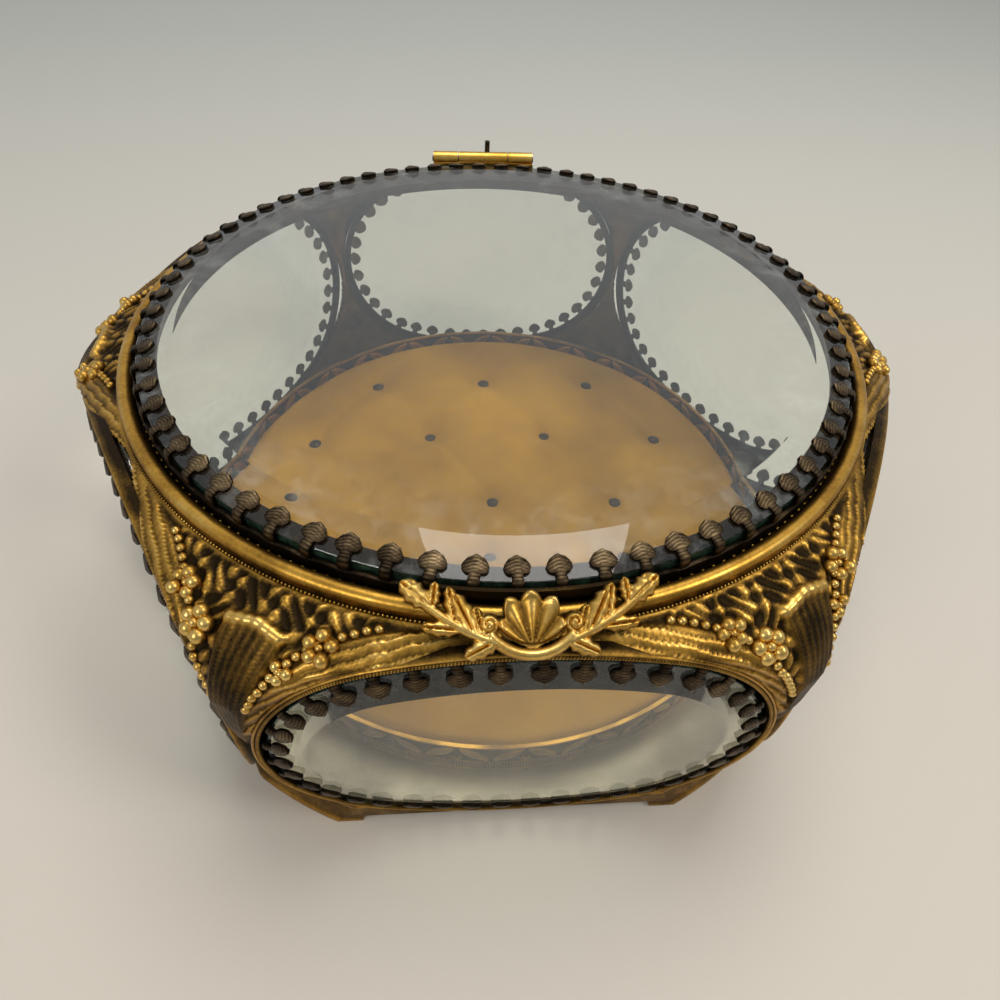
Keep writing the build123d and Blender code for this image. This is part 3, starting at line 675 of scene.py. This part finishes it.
def castRelief(s, v, near):
    # carving of one casting: s across it, v up its surface, near the distance outside a frame
    height = np.full_like(s, -0.2)
    dark = np.full_like(s, 0.6)
    # leafy band beside each frame, wide at the top and narrow at the waist
    wide = bandWidth(v)
    inBand = steppedEdge(wide - near + cornerCasting["clear"], 0.2)
    lap = np.abs(s) * -0.12 + v * 0.2 + near * 0.3 + 0.08 * np.sin(0.9 * s + 0.5 * v)
    leaf = (lap - np.floor(lap)) ** 0.8
    vein = waves(s * 0.62 - v * 0.45 + 0.6 * near)
    height += inBand * (0.06 + 0.5 * leaf + 0.04 * vein)
    dark = blended(dark, 0.62 - 0.6 * leaf + 0.06 * vein, inBand)
    row = near - cornerCasting["pearlRow"] - wide
    bed = ridge(row, 0.9) * steppedEdge(v - cornerCasting["pearlFrom"], 1.5)
    height -= 0.4 * bed
    dark += 0.3 * bed
    hatch = waves((v + 0.7 * s) / 0.9)
    line = ridge(near - 2.3, 0.3)
    height += line * (0.08 + 0.2 * hatch)
    dark += line * (0.15 - 0.4 * hatch)
    # curling sprays and granular ground
    field = steppedEdge(row - 0.7, 0.25)
    swirl = np.sin(1.25 * s + 1.7 * np.sin(0.62 * v)) * np.sin(1.1 * v + 1.5 * np.sin(0.7 * s + 0.7))
    spray = np.clip(swirl * 1.6, -1, 1)
    grain = np.sin(5.1 * s + 2.1 * v) * np.sin(4.6 * v - 1.7 * s)
    height += field * (0.42 * spray + 0.09 * grain)
    dark += field * (0.10 - 0.5 * spray - 0.12 * grain)
    # fluted leaf that widens upwards to a curled bright tip
    leafBase, leafTip = cornerCasting["leaf"]
    bend = 3.4 * np.clip((v - 48) / 32, 0, 1) ** 1.6
    half = 0.9 + 5.6 * np.clip((v - 42) / 36, 0, 1) ** 1.2
    t = (s - bend) / half
    end = leafTip - 0.22 * np.abs(s - bend)
    inLeaf = steppedEdge(1 - np.abs(t), 0.06) * steppedEdge(v - leafBase, 1.2) * steppedEdge(end - v, 0.3)
    flute = waves(t * 3.5)
    cut = waves((v - 0.35 * np.abs(s - bend)) / 0.85)
    bands = ridge(np.abs(t) - 0.62, 0.14)
    curl = ridge(end - 1.3 - v, 1.1)
    leafHeight = 0.5 + 0.3 * (1 - t ** 2) + 0.16 * flute * (1 - bands) + 0.16 * bands * cut + 0.8 * curl
    leafDark = 0.82 - 0.2 * flute - 0.18 * bands * cut - 0.95 * curl - 0.35 * ridge(np.abs(t) - 0.97, 0.06)
    height, dark = blended(height, leafHeight, inLeaf), blended(dark, leafDark, inLeaf)
    # crescent scales below the waist
    low, high = cornerCasting["waist"]
    waist = steppedEdge(high - v, 1.2) * steppedEdge(v - low, 0.8) \
        * steppedEdge(cornerCasting["waistHalf"] - np.abs(s), 0.5)
    lie = (v - 0.09 * s ** 2) / 3.1
    scale = lie - np.floor(lie)
    height += waist * (0.6 * scale - 0.1)
    dark += waist * (0.22 - 0.5 * scale)
    # plain flared foot with a rolled edge
    foot = steppedEdge(cornerCasting["foot"] - v, 0.6)
    roll = ridge(v - 1.0, 0.9) + ridge(v - 9.2, 0.7)
    height, dark = blended(height, 0.05 + 0.32 * roll, foot), blended(dark, 0.5 - 0.3 * roll, foot)
    return height, np.clip(dark, 0, 1)


def cornerSkin():
    # outer carved grid and inner plain grid of the casting that stands at +X
    profile, outDirection = cornerProfile()
    apothem, rounding, wall, clear, arc = (
        cornerCasting[k] for k in ("apothem", "round", "wall", "clear", "arc"))
    angles = np.linspace(-math.pi / 6, math.pi / 6, 261)
    hexOut = hexagonReach(angles, apothem, rounding)
    hexIn = hexagonReach(angles, apothem - wall, rounding - wall)
    r, z = profile[:, :1] + 0 * hexOut, profile[:, 1:] + 0 * hexOut
    reach = np.minimum(r, hexOut[None])
    onFlat = hexOut[None] < r
    c, s = np.cos(angles)[None], np.sin(angles)[None]
    x, y = reach * c, reach * s
    up = z - windowOval["middle"]
    left = ovalDistance(windowAcross(x, y, -math.pi / 6), up)
    right = ovalDistance(windowAcross(x, y, math.pi / 6), up)
    near = np.minimum(left, right)
    # over the dome the distance from a frame runs along the surface
    depth = apothem - np.maximum(windowDeep(x, y, -math.pi / 6), windowDeep(x, y, math.pi / 6))
    along = np.hypot(np.clip(near - clear, 0, None), np.clip(depth, 0, None)) + clear
    travel = travelAlong(profile)[:, None] + 0 * x
    height, dark = castRelief(angles[None] * arc + 0 * x, travel, along)
    fillet = steppedEdge(travel - travel.max() + 0.8, 0.2)
    height, dark = blended(height, 0, fillet), blended(dark, 0.3, fillet)
    fromSeam = (math.pi / 6 - np.abs(angles[None])) * arc
    settle = np.clip((near - clear) / 0.6, 0, 1) * np.clip(fromSeam / 0.8, 0, 1)
    height = height * settle - 0.1 * (1 - settle)
    # flats face the window's way, and the rest faces the section's way
    side = np.where(angles[None] < 0, -math.pi / 6, math.pi / 6)
    nx = np.where(onFlat, np.cos(side), outDirection[:, :1] * c)
    ny = np.where(onFlat, np.sin(side), outDirection[:, :1] * s)
    nz = np.where(onFlat, 0.0, outDirection[:, 1:] + 0 * c)
    height = np.minimum(height, np.clip(cornerCasting["limit"] - reach, 0, None))
    outer = np.stack([x + nx * height, y + ny * height, z + nz * height], -1)
    innerR = np.minimum(profile[:, :1] - wall * outDirection[:, :1], hexIn[None])
    innerZ = np.clip(profile[:, 1:] - wall * outDirection[:, 1:] + 0 * hexIn, 0, None)
    innerZ = np.where(z < 4, z, innerZ)
    innerR = np.where(innerZ > 69, np.maximum(innerR, cornerCasting["top"][0]), innerR)
    inner = np.stack([innerR * c, innerR * s, innerZ], -1)
    # faces outside the frames, with the foot standing below the rest
    low = (z < cornerCasting["lift"] - 0.01) & (np.abs(angles[None]) * arc > cornerCasting["footHalf"])
    keep = wholeCells((near > clear - 0.45) & ~low)
    grid = {"angles": angles, "travel": travel[:, 0], "along": along, "points": outer,
            "normals": np.stack([nx, ny, nz], -1)}
    return outer, inner, keep, dark, grid


def shellOf(outer, inner, keep, dark):
    # closed shell from two grids and the cells that are kept
    rows, columns = outer.shape[:2]
    number = np.arange(rows * columns).reshape(rows, columns)
    a, b, c, d = number[:-1, :-1], number[1:, :-1], number[1:, 1:], number[:-1, 1:]
    outerFaces = np.stack([a, d, c, b], -1)[keep]
    shift = rows * columns
    innerFaces = np.stack([a, b, c, d], -1)[keep] + shift
    padded = np.pad(keep, 1)
    rims = []
    for dr, dc, first, second in ((-1, 0, a, d), (1, 0, c, b), (0, -1, b, a), (0, 1, d, c)):
        edge = keep & ~padded[1 + dr:1 + dr + rows - 1, 1 + dc:1 + dc + columns - 1]
        f, g = first[edge], second[edge]
        rims.append(np.stack([g, f, f + shift, g + shift], -1))
    faces = np.concatenate([outerFaces, innerFaces] + rims)
    points = np.concatenate([outer.reshape(-1, 3), inner.reshape(-1, 3)])
    used, faces = np.unique(faces, return_inverse=True)
    shade = np.concatenate([dark.ravel(), np.full(shift, 0.62)])
    return (points[used], [faces.reshape(-1, 4)]), shade[used]


def onSkin(grid, s, v):
    # place and direction outwards of a spot on the casting, from nearest grid points
    angles, travel = grid["angles"], grid["travel"]
    j = np.clip(np.searchsorted(angles, s / cornerCasting["arc"]), 1, len(angles) - 2)
    i = np.clip(np.searchsorted(travel, v), 1, len(travel) - 2)
    return grid["points"][i, j], grid["normals"][i, j]


def pearlSpots(grid):
    # even spots on both pearl rows: from the waist up and over the dome
    spots = []
    middle = len(grid["angles"]) // 2
    for half in (slice(0, middle + 1), slice(middle, None)):
        found = []
        for i, v in enumerate(grid["travel"]):
            if v < cornerCasting["pearlFrom"] + 1 or v > grid["travel"][-1] - 1.5:
                continue
            row = grid["along"][i, half] - cornerCasting["pearlRow"] - bandWidth(v)
            columns = np.arange(len(grid["angles"]))[half]
            order = np.argsort(row)
            if row.min() > 0 or row.max() < 0:
                continue
            j = np.interp(0.0, row[order], columns[order])
            found.append((i, int(round(j))))
        if len(found) < 2:
            continue
        places = np.array([grid["points"][i, j] for i, j in found])
        outs = np.array([grid["normals"][i, j] for i, j in found])
        travel = travelAlong(places)
        for at in np.arange(0.5, travel[-1], cornerCasting["pearlPitch"]):
            place = np.array([np.interp(at, travel, places[:, k]) for k in range(3)])
            out = np.array([np.interp(at, travel, outs[:, k]) for k in range(3)])
            spots.append((place + 0.25 * out, cornerCasting["pearl"]))
    return spots


def flowerSpots(grid):
    # each flower: round petals about a small eye; some berries between them
    spots = []
    for s, v, petals, ring, size in cornerCasting["flowers"]:
        for k in range(petals):
            a = 2 * math.pi * k / petals + 0.4
            place, out = onSkin(grid, s + ring * math.cos(a), v + ring * math.sin(a))
            spots.append((place + 0.2 * out, size))
        place, out = onSkin(grid, s, v)
        spots.append((place + 0.55 * out, size * 0.62))
    return spots


outerSkin, innerSkin, kept, skinDark, skinGrid = cornerSkin()
castShell, castShade = shellOf(outerSkin, innerSkin, kept, skinDark)
ball = ballPart(7, 12)
spots = pearlSpots(skinGrid) + flowerSpots(skinGrid)
centres = np.array([place for place, _ in spots])
sizes = np.array([size for _, size in spots])
inside = np.hypot(centres[:, 0], centres[:, 1]) + sizes < cornerCasting["limit"] + 0.1
centres, sizes = centres[inside], sizes[inside]
balls = copied(ball, (centres, np.eye(3)[None] * sizes[:, None, None]))
# each pearl and petal ball is painted lighter on its +X side, which faces out on this casting, and darker on
# its inner side: a painted highlight and painted shade
ballPaintedLight = np.tile(np.clip(0.12 - 0.4 * ball[0][:, 0], -0.1, 1), len(centres))
print("casting relief:", len(castShell[0]), "points,", len(centres), "pearls and petals")
for number, place in enumerate(cornerNames):
    angle = number * math.pi / 3
    c, s = math.cos(angle), math.sin(angle)
    spin = np.array([[c, s, 0], [-s, c, 0], [0, 0, 1]])
    makePiece(f"casting_{place}", "base", metals["giltCasting"],
              [(castShell[0] @ spin, castShell[1]), (balls[0] @ spin, balls[1])], sharp=60,
              standsFor=(f"corner_{place}",), closed=False,
              recess=np.concatenate([castShade, ballPaintedLight]))
print("corner castings made")

# Stamped band round the cushion: a row of leaning leaves over a ribbed row
trayBand = {"inner": 79.8, "outer": 80.8, "floor": 4.2, "top": 16.6, "leaves": 62, "ribs": 724, "steps": 2048,
            "cell": 0.26, "leafMiddle": 12.3, "ribRow": (5.4, 8.6),
            "berries": [(0, 9.7), (-0.75, 10.7), (0.75, 10.7)],
            "beadLines": [(4.75, 0.5), (8.85, 0.28), (16.1, 0.45)]}


def bandRelief(a, z):
    # leaf row above, ribs below, bead lines at both edges; a runs round in leaf pitches
    cellNumber = np.floor(a)
    lean = np.where(cellNumber % 2 == 0, 1.0, -1.0) * math.radians(38)
    pitch = 2 * math.pi * trayBand["outer"] / trayBand["leaves"]
    across, up = (a - cellNumber - 0.5) * pitch, z - trayBand["leafMiddle"]
    u = across * np.cos(lean) + up * np.sin(lean)
    w = -across * np.sin(lean) + up * np.cos(lean)
    half = 1.75 * np.clip(1 - (u / 4.7) ** 2, 0.001, None)
    inLeaf = steppedEdge(1 - np.abs(w) / half, 0.08) * (np.abs(u) < 4.6)
    veins = waves((u + 0.9 * np.abs(w)) / 0.8)
    height = inLeaf * (0.34 * (1 - (w / half) ** 2) - 0.12 * ridge(w, 0.16) + 0.05 * veins)
    dark = 0.72 - inLeaf * (0.85 - 0.15 * veins - 0.3 * ridge(w, 0.16))
    valley = (a - np.floor(a / 2) * 2 - 1) * pitch
    for da, dz in trayBand["berries"]:
        berry = np.clip(1 - np.hypot(valley - da, z - dz) ** 2 / 0.34, 0, 1)
        height = np.maximum(height, 0.4 * np.sqrt(berry))
        dark = np.where(berry > 0.05, 0.2, dark)
    ribs = waves(a * trayBand["ribs"] / trayBand["leaves"])
    low, high = trayBand["ribRow"]
    inRibs = steppedEdge(high - z, 0.08) * steppedEdge(z - low, 0.08)
    height, dark = blended(height, 0.25 * ribs, inRibs), blended(dark, 0.75 - 0.62 * ribs, inRibs)
    for at, size in trayBand["beadLines"]:
        bead = ridge(z - at, size)
        height += bead * 0.3
        dark -= bead * 0.6
    return height, np.clip(dark, 0, 1)


def bandPart():
    angle = roundTurn(trayBand["steps"])
    levels = np.arange(trayBand["floor"], trayBand["top"] + 0.01, trayBand["cell"])
    turns, z = np.meshgrid(angle / (2 * math.pi) * trayBand["leaves"], levels)
    height, dark = bandRelief(turns, z)
    outer = trayBand["outer"] - 0.25 + height
    innerWall = trayBand["inner"] + 0.2 - height * 0.8
    rows = np.concatenate([outer, innerWall[::-1]])
    heights = np.concatenate([levels, levels[::-1]])
    points = ringPoints(rows, angle, heights[:, None])
    return (points.reshape(-1, 3), [gridFaces(len(rows), trayBand["steps"], True, True)]), \
        np.concatenate([dark, dark[::-1]]).ravel()


bandShape, bandShade = bandPart()
makePiece("stampedBand", "base", metals["giltRolled"], [bandShape], sharp=50,
          standsFor=("tray_band",), recess=bandShade)
print("tray band made")

# Scallop shell with scrolls and leafy branches, on its sloping plane in front of the lid
shellLift = {"origin": (0.0, -83.45, 81.0), "slope": 30.0, "focus": -9.8, "cell": 0.17,
             "tab": (83.45, 84.15, 78.6, 81.0, 15 / 83.8, 40),
             "lobes": [(-52, 5.4), (-27, 7.8), (0, 8.1), (27, 7.8), (52, 5.4)],
             "leaves": [((16.0, -2.6), (20.8, 1.6), 1.9, 2.3), ((15.8, -3.0), (15.2, 1.4), 1.3, 2.0),
                        ((9.0, -7.4), (12.4, -0.6), 1.9, 2.1), ((12.0, -5.6), (13.2, 0.6), 1.5, 1.8),
                        ((11.2, -6.4), (17.6, -5.6), 1.4, 1.7), ((5.4, -8.0), (10.8, -10.6), 1.7, 1.9),
                        ((7.6, -8.0), (9.0, -2.8), 1.2, 1.7)]}


def strokeHeight(x, y, line, width, tall):
    # rounded ridge along a line of places
    away = np.full_like(x, 99.0)
    for start, end in zip(line, line[1:]):
        away = np.minimum(away, fromSegment(x, y, start, end))
    return tall * np.sqrt(np.clip(1 - (away / width) ** 2, 0, None))


def leafHeight(x, y, start, end, half, tall):
    # pointed leaf with a sunk midrib
    length = math.hypot(end[0] - start[0], end[1] - start[1])
    ux, uy = (end[0] - start[0]) / length, (end[1] - start[1]) / length
    u = ((x - start[0]) * ux + (y - start[1]) * uy) / length
    w = -(x - start[0]) * uy + (y - start[1]) * ux
    edge = half * np.sqrt(np.clip(4 * u * (1 - u), 0, None)) * (1 + 0.12 * np.cos(u * 22)) + 1e-6
    body = np.clip(1 - (w / edge) ** 2, 0, None) * (np.abs(u - 0.5) < 0.5)
    return tall * np.sqrt(body) * (1 - 0.35 * ridge(w, 0.22))


def arcLine(points, count):
    # smooth line through a few places
    points = np.array(points, float)
    t = np.linspace(0, 1, len(points))
    fit = np.polyfit(t, points, min(3, len(points) - 1))
    at = np.linspace(0, 1, count)
    return [tuple(sum(fit[k] * a ** (len(fit) - 1 - k) for k in range(len(fit)))) for a in at]


def shellHeight(x, y):
    right = np.abs(x)
    rho, turn = np.hypot(x, y - shellLift["focus"]), np.degrees(np.arctan2(x, y - shellLift["focus"]))
    turns, lengths = zip(*shellLift["lobes"])
    reach = np.interp(turn, turns, lengths)
    rib = np.abs(np.cos(np.radians(turn * 180 / 26.5)))
    edge = (reach + 1.5) * (0.86 + 0.14 * rib ** 0.7)
    inFan = (rho < edge) & (np.abs(turn) < 66)
    fan = np.where(inFan, 0.85 + 0.95 * rib ** 1.1 * (rho / 9.0) ** 0.6 + 0.25 * ridge(rho - edge + 0.7, 0.6)
                   - 0.5 * np.clip((rho - edge + 0.45) / 0.45, 0, 1), 0)
    groove = strokeHeight(x, y, arcLine([(-5.6, -6.4), (0, -9.0), (5.6, -6.4)], 16), 0.42, 1.0)
    fan = np.where(groove > 0, np.minimum(fan, 1.7 - 0.9 * groove), fan)
    lip = arcLine([(-6.4, -7.6), (-3.4, -9.9), (0, -10.35), (3.4, -9.9), (6.4, -7.6)], 22)
    tall = np.maximum(fan, strokeHeight(x, y, lip, 1.15, 2.0))
    dx, dy = right - 6.9, y + 5.6
    spin = np.arctan2(dy, dx)
    away = np.hypot(dx, dy)
    ball = 2.5 * np.sqrt(np.clip(1 - (away / 2.0) ** 2, 0, None))
    coil = ball - 0.55 * ridge(((away * 1.05 - spin / (2 * math.pi)) % 1.0) - 0.5, 0.16) * (away > 0.35)
    tall = np.maximum(tall, np.where(ball > 0, coil, 0))
    branch = arcLine([(5.0, -8.8), (9.4, -7.2), (13.6, -4.4), (16.8, -2.4), (19.4, 0.4)], 20)
    tall = np.maximum(tall, strokeHeight(right, y, branch, 1.0, 1.9))
    for leaf in shellLift["leaves"]:
        tall = np.maximum(tall, leafHeight(right, y, *leaf))
    curl = np.hypot(right - 19.2, y - 0.6)
    tip = 2.3 * np.sqrt(np.clip(1 - (curl / 1.5) ** 2, 0, None))
    return np.maximum(tall, tip - 0.7 * ridge(curl - 0.75, 0.25) * (curl < 1.4))


def shellPart():
    x = np.arange(-21.3, 21.31, shellLift["cell"])
    y = np.arange(-11.4, 2.6, shellLift["cell"])
    y, x = np.meshgrid(y, x, indexing="ij")
    tall = shellHeight(x, y)
    slope = math.radians(shellLift["slope"])
    along = np.array([0, math.cos(slope), math.sin(slope)])
    out = np.array([0, -math.sin(slope), math.cos(slope)])
    base = np.array(shellLift["origin"]) + x[..., None] * np.array([1.0, 0, 0]) + y[..., None] * along
    keep = wholeCells(tall > 0.25)
    top = base + np.clip(tall, 0.1, 2.5)[..., None] * out
    points, _ = shellOf(base, top, keep, tall)
    return points


def bentStrip(inner, outer, low, high, halfAngle, count):
    angle = np.linspace(-halfAngle, halfAngle, count) - math.pi / 2
    rows = [(outer, low), (outer, high), (inner, high), (inner, low)]
    points = np.stack([ringPoints(r, angle, z) for r, z in rows])
    ends = [np.array([[0, count, 2 * count, 3 * count]]),
            np.array([[3, 2, 1, 0]]) * count + count - 1]
    return points.reshape(-1, 3), [gridFaces(4, count, closeRows=True)] + ends


shellShape = shellPart()
shellTab = bentStrip(*shellLift["tab"])
local = np.concatenate([shellShape[0], shellTab[0]]) - np.array(shellLift["origin"])
tilt = math.radians(shellLift["slope"])
rise = local[:, 2] * math.cos(tilt) - local[:, 1] * math.sin(tilt)
makePiece("scallopShell", "lid", metals["giltCasting"], [shellShape, shellTab],
          sharp=60, standsFor=("shell_ornament",), recess=np.clip(0.95 - 0.58 * rise, 0, 1))
print("shell made")


# Cotton velvet: short dense pile in uneven tones that glints at a slant
velvetLook = {"stops": [(0.25, "#80590c"), (0.50, "#966a0f"), (0.78, "#ac7d18")], "nap": 26.0,
              "pile": 0.35}


def cottonVelvet():
    material, tree = newMaterial("cottonVelvet")
    place = objectPlace(tree)
    nap = noise(tree, place, 1000 / velvetLook["nap"], 5.0, 0.55)
    pile = noise(tree, place, 1000 / velvetLook["pile"], 2.0)
    mixed = compute(tree, "SUBTRACT", compute(tree, "MULTIPLY_ADD", pile, 0.35, nap), 0.17)
    cloth = addNode(tree, "ShaderNodeBsdfPrincipled", {"Roughness": 0.9, "Sheen Weight": 0.06,
                    "Sheen Roughness": 0.45, "Sheen Tint": toLinear("#e0b96a"),
                    "Specular IOR Level": 0.2},
                    {"Base Color": ramp(tree, mixed, velvetLook["stops"]),
                     "Normal": bumped(tree, pile, 0.5, 0.00012)})
    surface(tree, cloth)
    return material


velvet = cottonVelvet()

# Tufted cushion: crowned, drawn in at the side, pulled down at eleven buttons
cushionShape = {"edge": 14.0, "crown": 5.4, "crownRadius": 558.8, "depth": 2.2, "crease": 0.3,
                "hub": 0.4, "flat": 76.8, "rings": 110, "steps": 360, "limit": 79.45,
                "side": [(77.6, 13.75), (78.5, 13.1), (79.1, 12.0), (79.3, 10.6), (79.1, 9.0), (78.5, 7.7),
                         (77.6, 6.9), (76.8, 6.7)]}
buttonPlaces = [(-37.6, 50.8), (0, 50.8), (37.6, 50.8), (-56.4, 21.2), (-18.8, 21.2), (18.8, 21.2),
                (56.4, 21.2), (0, -8.4), (37.6, -8.4), (-18.8, -38.0), (18.8, -38.0)]
tuftPlaces = buttonPlaces + [(-37.6, -8.4)]


def velvetHeight(x, y):
    # crown, less a dimple at each button and a soft crease between neighbours
    height = cushionShape["edge"] + cushionShape["crown"] - cushionShape["crownRadius"] \
        + np.sqrt(cushionShape["crownRadius"] ** 2 - x ** 2 - y ** 2)
    for bx, by in buttonPlaces:
        away = np.hypot(x - bx, y - by)
        height = height - cushionShape["depth"] * np.exp(-(away / 4.6) ** 2) \
            - 0.5 * np.exp(-(away / 11.0) ** 2)
    for i, first in enumerate(tuftPlaces):
        for second in tuftPlaces[i + 1:]:
            if 30 < math.dist(first, second) < 36.5:  # slanting neighbours only
                away = fromSegment(x, y, first, second)
                height = height - cushionShape["crease"] * np.exp(-(away / 1.5) ** 2)
    return height


def cushionPart():
    rings = np.linspace(1.0, cushionShape["flat"], cushionShape["rings"])
    rings, count = np.concatenate([[cushionShape["hub"]], rings]), cushionShape["steps"]
    angle = roundTurn(count)
    rows = []
    for r in rings:
        x, y = r * np.cos(angle), r * np.sin(angle)
        rows.append(np.stack([x, y, velvetHeight(x, y)], -1))
    sag = 0.18 * np.sin(angle * 9 + 1.3) + 0.12 * np.sin(angle * 23)
    for r, z in cushionShape["side"]:
        r = np.minimum(r + sag * (6.8 < z < 13.4), cushionShape["limit"])
        rows.append(ringPoints(r, angle, z))
    points = np.stack(rows)
    faces = [gridFaces(len(rows), count, closeColumns=True)] + capFaces(len(rows), count)
    return points.reshape(-1, 3), faces


velvetCushion = makePiece("velvetCushion", "base", velvet, [cushionPart()], sharp=80,
                          standsFor=("cushion",))

# Pressed metal buttons
sewnButton = {"section": [(0.05, 1.5), (0.8, 1.42), (1.5, 1.12), (2.0, 0.66), (2.25, 0.2), (2.3, 0.0),
                          (2.1, -0.25), (0.05, -0.25)], "steps": 24, "lift": 0.15, "recess": 0.45}
buttonPart = turned(sewnButton["section"], sewnButton["steps"], closed=False)
seats = np.array([(x, y, float(velvetHeight(np.array(x), np.array(y))) + sewnButton["lift"])
                  for x, y in buttonPlaces])
buttons = copied(buttonPart, (seats, np.tile(np.eye(3), (len(seats), 1, 1))))
makePiece("sewnButtons", "base", metals["prongBronze"], [buttons],
          standsFor=("cushion_buttons",), recess=np.full(len(buttons[0]), sewnButton["recess"]))
print("cushion and buttons made")


def greyBoard():
    # pressed grey board is matt and fibrous
    material, tree = newMaterial("greyBoard")
    fibre = noise(tree, objectPlace(tree), 900.0, 6.0)
    board = addNode(tree, "ShaderNodeBsdfPrincipled", {"Roughness": 0.85},
                    {"Base Color": ramp(tree, fibre, [(0.3, "#6b5d46"), (0.7, "#8f8065")]),
                     "Normal": bumped(tree, fibre, 0.4, 0.00005)})
    surface(tree, board)
    return material


# Finishes of the solids that stay
finishes = {"base_plate": metals["sheetBrass"], "hinge_stop_pin": metals["darkSteel"],
            "hinge_pin": metals["darkSteel"], "cushion_board": greyBoard()}
for name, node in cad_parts.items():
    finish = finishes.get(name, metals["giltRolled"])
    node.data.materials.clear()
    node.data.materials.append(finish)
    node.data.shade_smooth()
    node.data.set_sharp_from_angle(angle=math.radians(30))

# Pale flat tabletop, greyer and darker towards the back: painted shade where less light reaches the far table
floorLook = {"near": "#c9c1b5", "far": "#b4b5ad"}


def paleTable():
    material, tree = newMaterial("paleTable")
    split = addNode(tree, "ShaderNodeSeparateXYZ", links={"Vector": objectPlace(tree)})
    # near-to-far blend; the darker far colour is painted shade
    colour = addNode(tree, "ShaderNodeMix", {"data_type": "RGBA", "A": toLinear(floorLook["near"]),
                     "B": toLinear(floorLook["far"])},
                     {"Factor": remap(tree, split.outputs["Y"], -0.1, 0.55)})
    table = addNode(tree, "ShaderNodeBsdfPrincipled", {"Roughness": 0.55, "Specular IOR Level": 0.3},
                    {"Base Color": colour.outputs[2]})
    surface(tree, table)
    return material


tableHalf = 3000.0
tableCorners = np.array([[-1, -1, 0], [1, -1, 0], [1, 1, 0], [-1, 1, 0]]) * tableHalf
floorMesh = makeMesh("table", [(tableCorners, [np.array([[0, 1, 2, 3]])])], closed=False)
floorMesh.materials.append(paleTable())
table = bpy.data.objects.new("table", floorMesh)
bpy.context.scene.collection.objects.link(table)

# Soft daylight: a bright ceiling, a darker side where the viewer stands
lightPlan = {"ceiling": 0.68, "horizon": 0.44, "viewer": 0.42, "colour": (0.96, 0.98, 1.0, 1)}
world = bpy.data.worlds.new("softRoom")
bpy.context.scene.world = world
world.use_nodes = True
tree = world.node_tree
tree.nodes.clear()
way = addNode(tree, "ShaderNodeTexCoord").outputs["Generated"]
axes = addNode(tree, "ShaderNodeSeparateXYZ", links={"Vector": way})
climb = remap(tree, axes.outputs["Z"], -0.1, 0.9, lightPlan["horizon"], lightPlan["ceiling"])
front = remap(tree, axes.outputs["Y"], -1.0, 0.25, lightPlan["viewer"], 1.0)
glow = compute(tree, "MULTIPLY", climb, front)
sky = addNode(tree, "ShaderNodeBackground", {"Color": lightPlan["colour"]}, {"Strength": glow})
addNode(tree, "ShaderNodeOutputWorld", links={"Surface": sky.outputs[0]})


def softLamp(name, place, aim, size, power, colour):
    lamp = bpy.data.lights.new(name, "AREA")
    lamp.shape, lamp.size, lamp.energy, lamp.color = "DISK", size, power, colour
    holder = bpy.data.objects.new(name, lamp)
    holder.location = place
    holder.rotation_euler = (Vector(aim) - Vector(place)).to_track_quat("-Z", "Y").to_euler()
    bpy.context.scene.collection.objects.link(holder)


softLamp("windowLight", (0.10, 0.27, 1.0), (0, 0, 0.04), 0.60, 4.4, (1.0, 0.98, 0.95))
softLamp("roomLight", (0.62, -0.3, 0.8), (0, 0, 0.04), 0.32, 2.8, (1.0, 0.95, 0.88))
softLamp("sideLight", (-0.6, -0.65, 0.6), (0, 0, 0.04), 0.35, 2.0, (1.0, 0.97, 0.92))

# Camera at the photograph's angle
cameraPlan = {"pitch": 47.6, "yaw": 6.105, "roll": 3.48, "lens": 24.748,
              "place": (-0.012543, -0.14717, 0.172536)}
pitch, yaw, roll = (math.radians(cameraPlan[k]) for k in ("pitch", "yaw", "roll"))
ahead = Vector((math.sin(yaw) * math.cos(pitch), math.cos(yaw) * math.cos(pitch), -math.sin(pitch)))
level = Vector((math.cos(yaw), -math.sin(yaw), 0))
rise = level.cross(ahead)
right = math.cos(roll) * level + math.sin(roll) * rise
top = -math.sin(roll) * level + math.cos(roll) * rise
cameraData = bpy.data.cameras.new("photographer")
cameraData.lens, cameraData.sensor_width = cameraPlan["lens"], 36.0
cameraData.clip_start = 0.01
camera = bpy.data.objects.new("photographer", cameraData)
pose = Matrix((right, top, -ahead)).transposed().to_4x4()
pose.translation = cameraPlan["place"]
camera.matrix_world = pose
bpy.context.scene.collection.objects.link(camera)
bpy.context.scene.camera = camera
bpy.context.scene.view_settings.view_transform = "Standard"
print("stage, lamps and camera set")
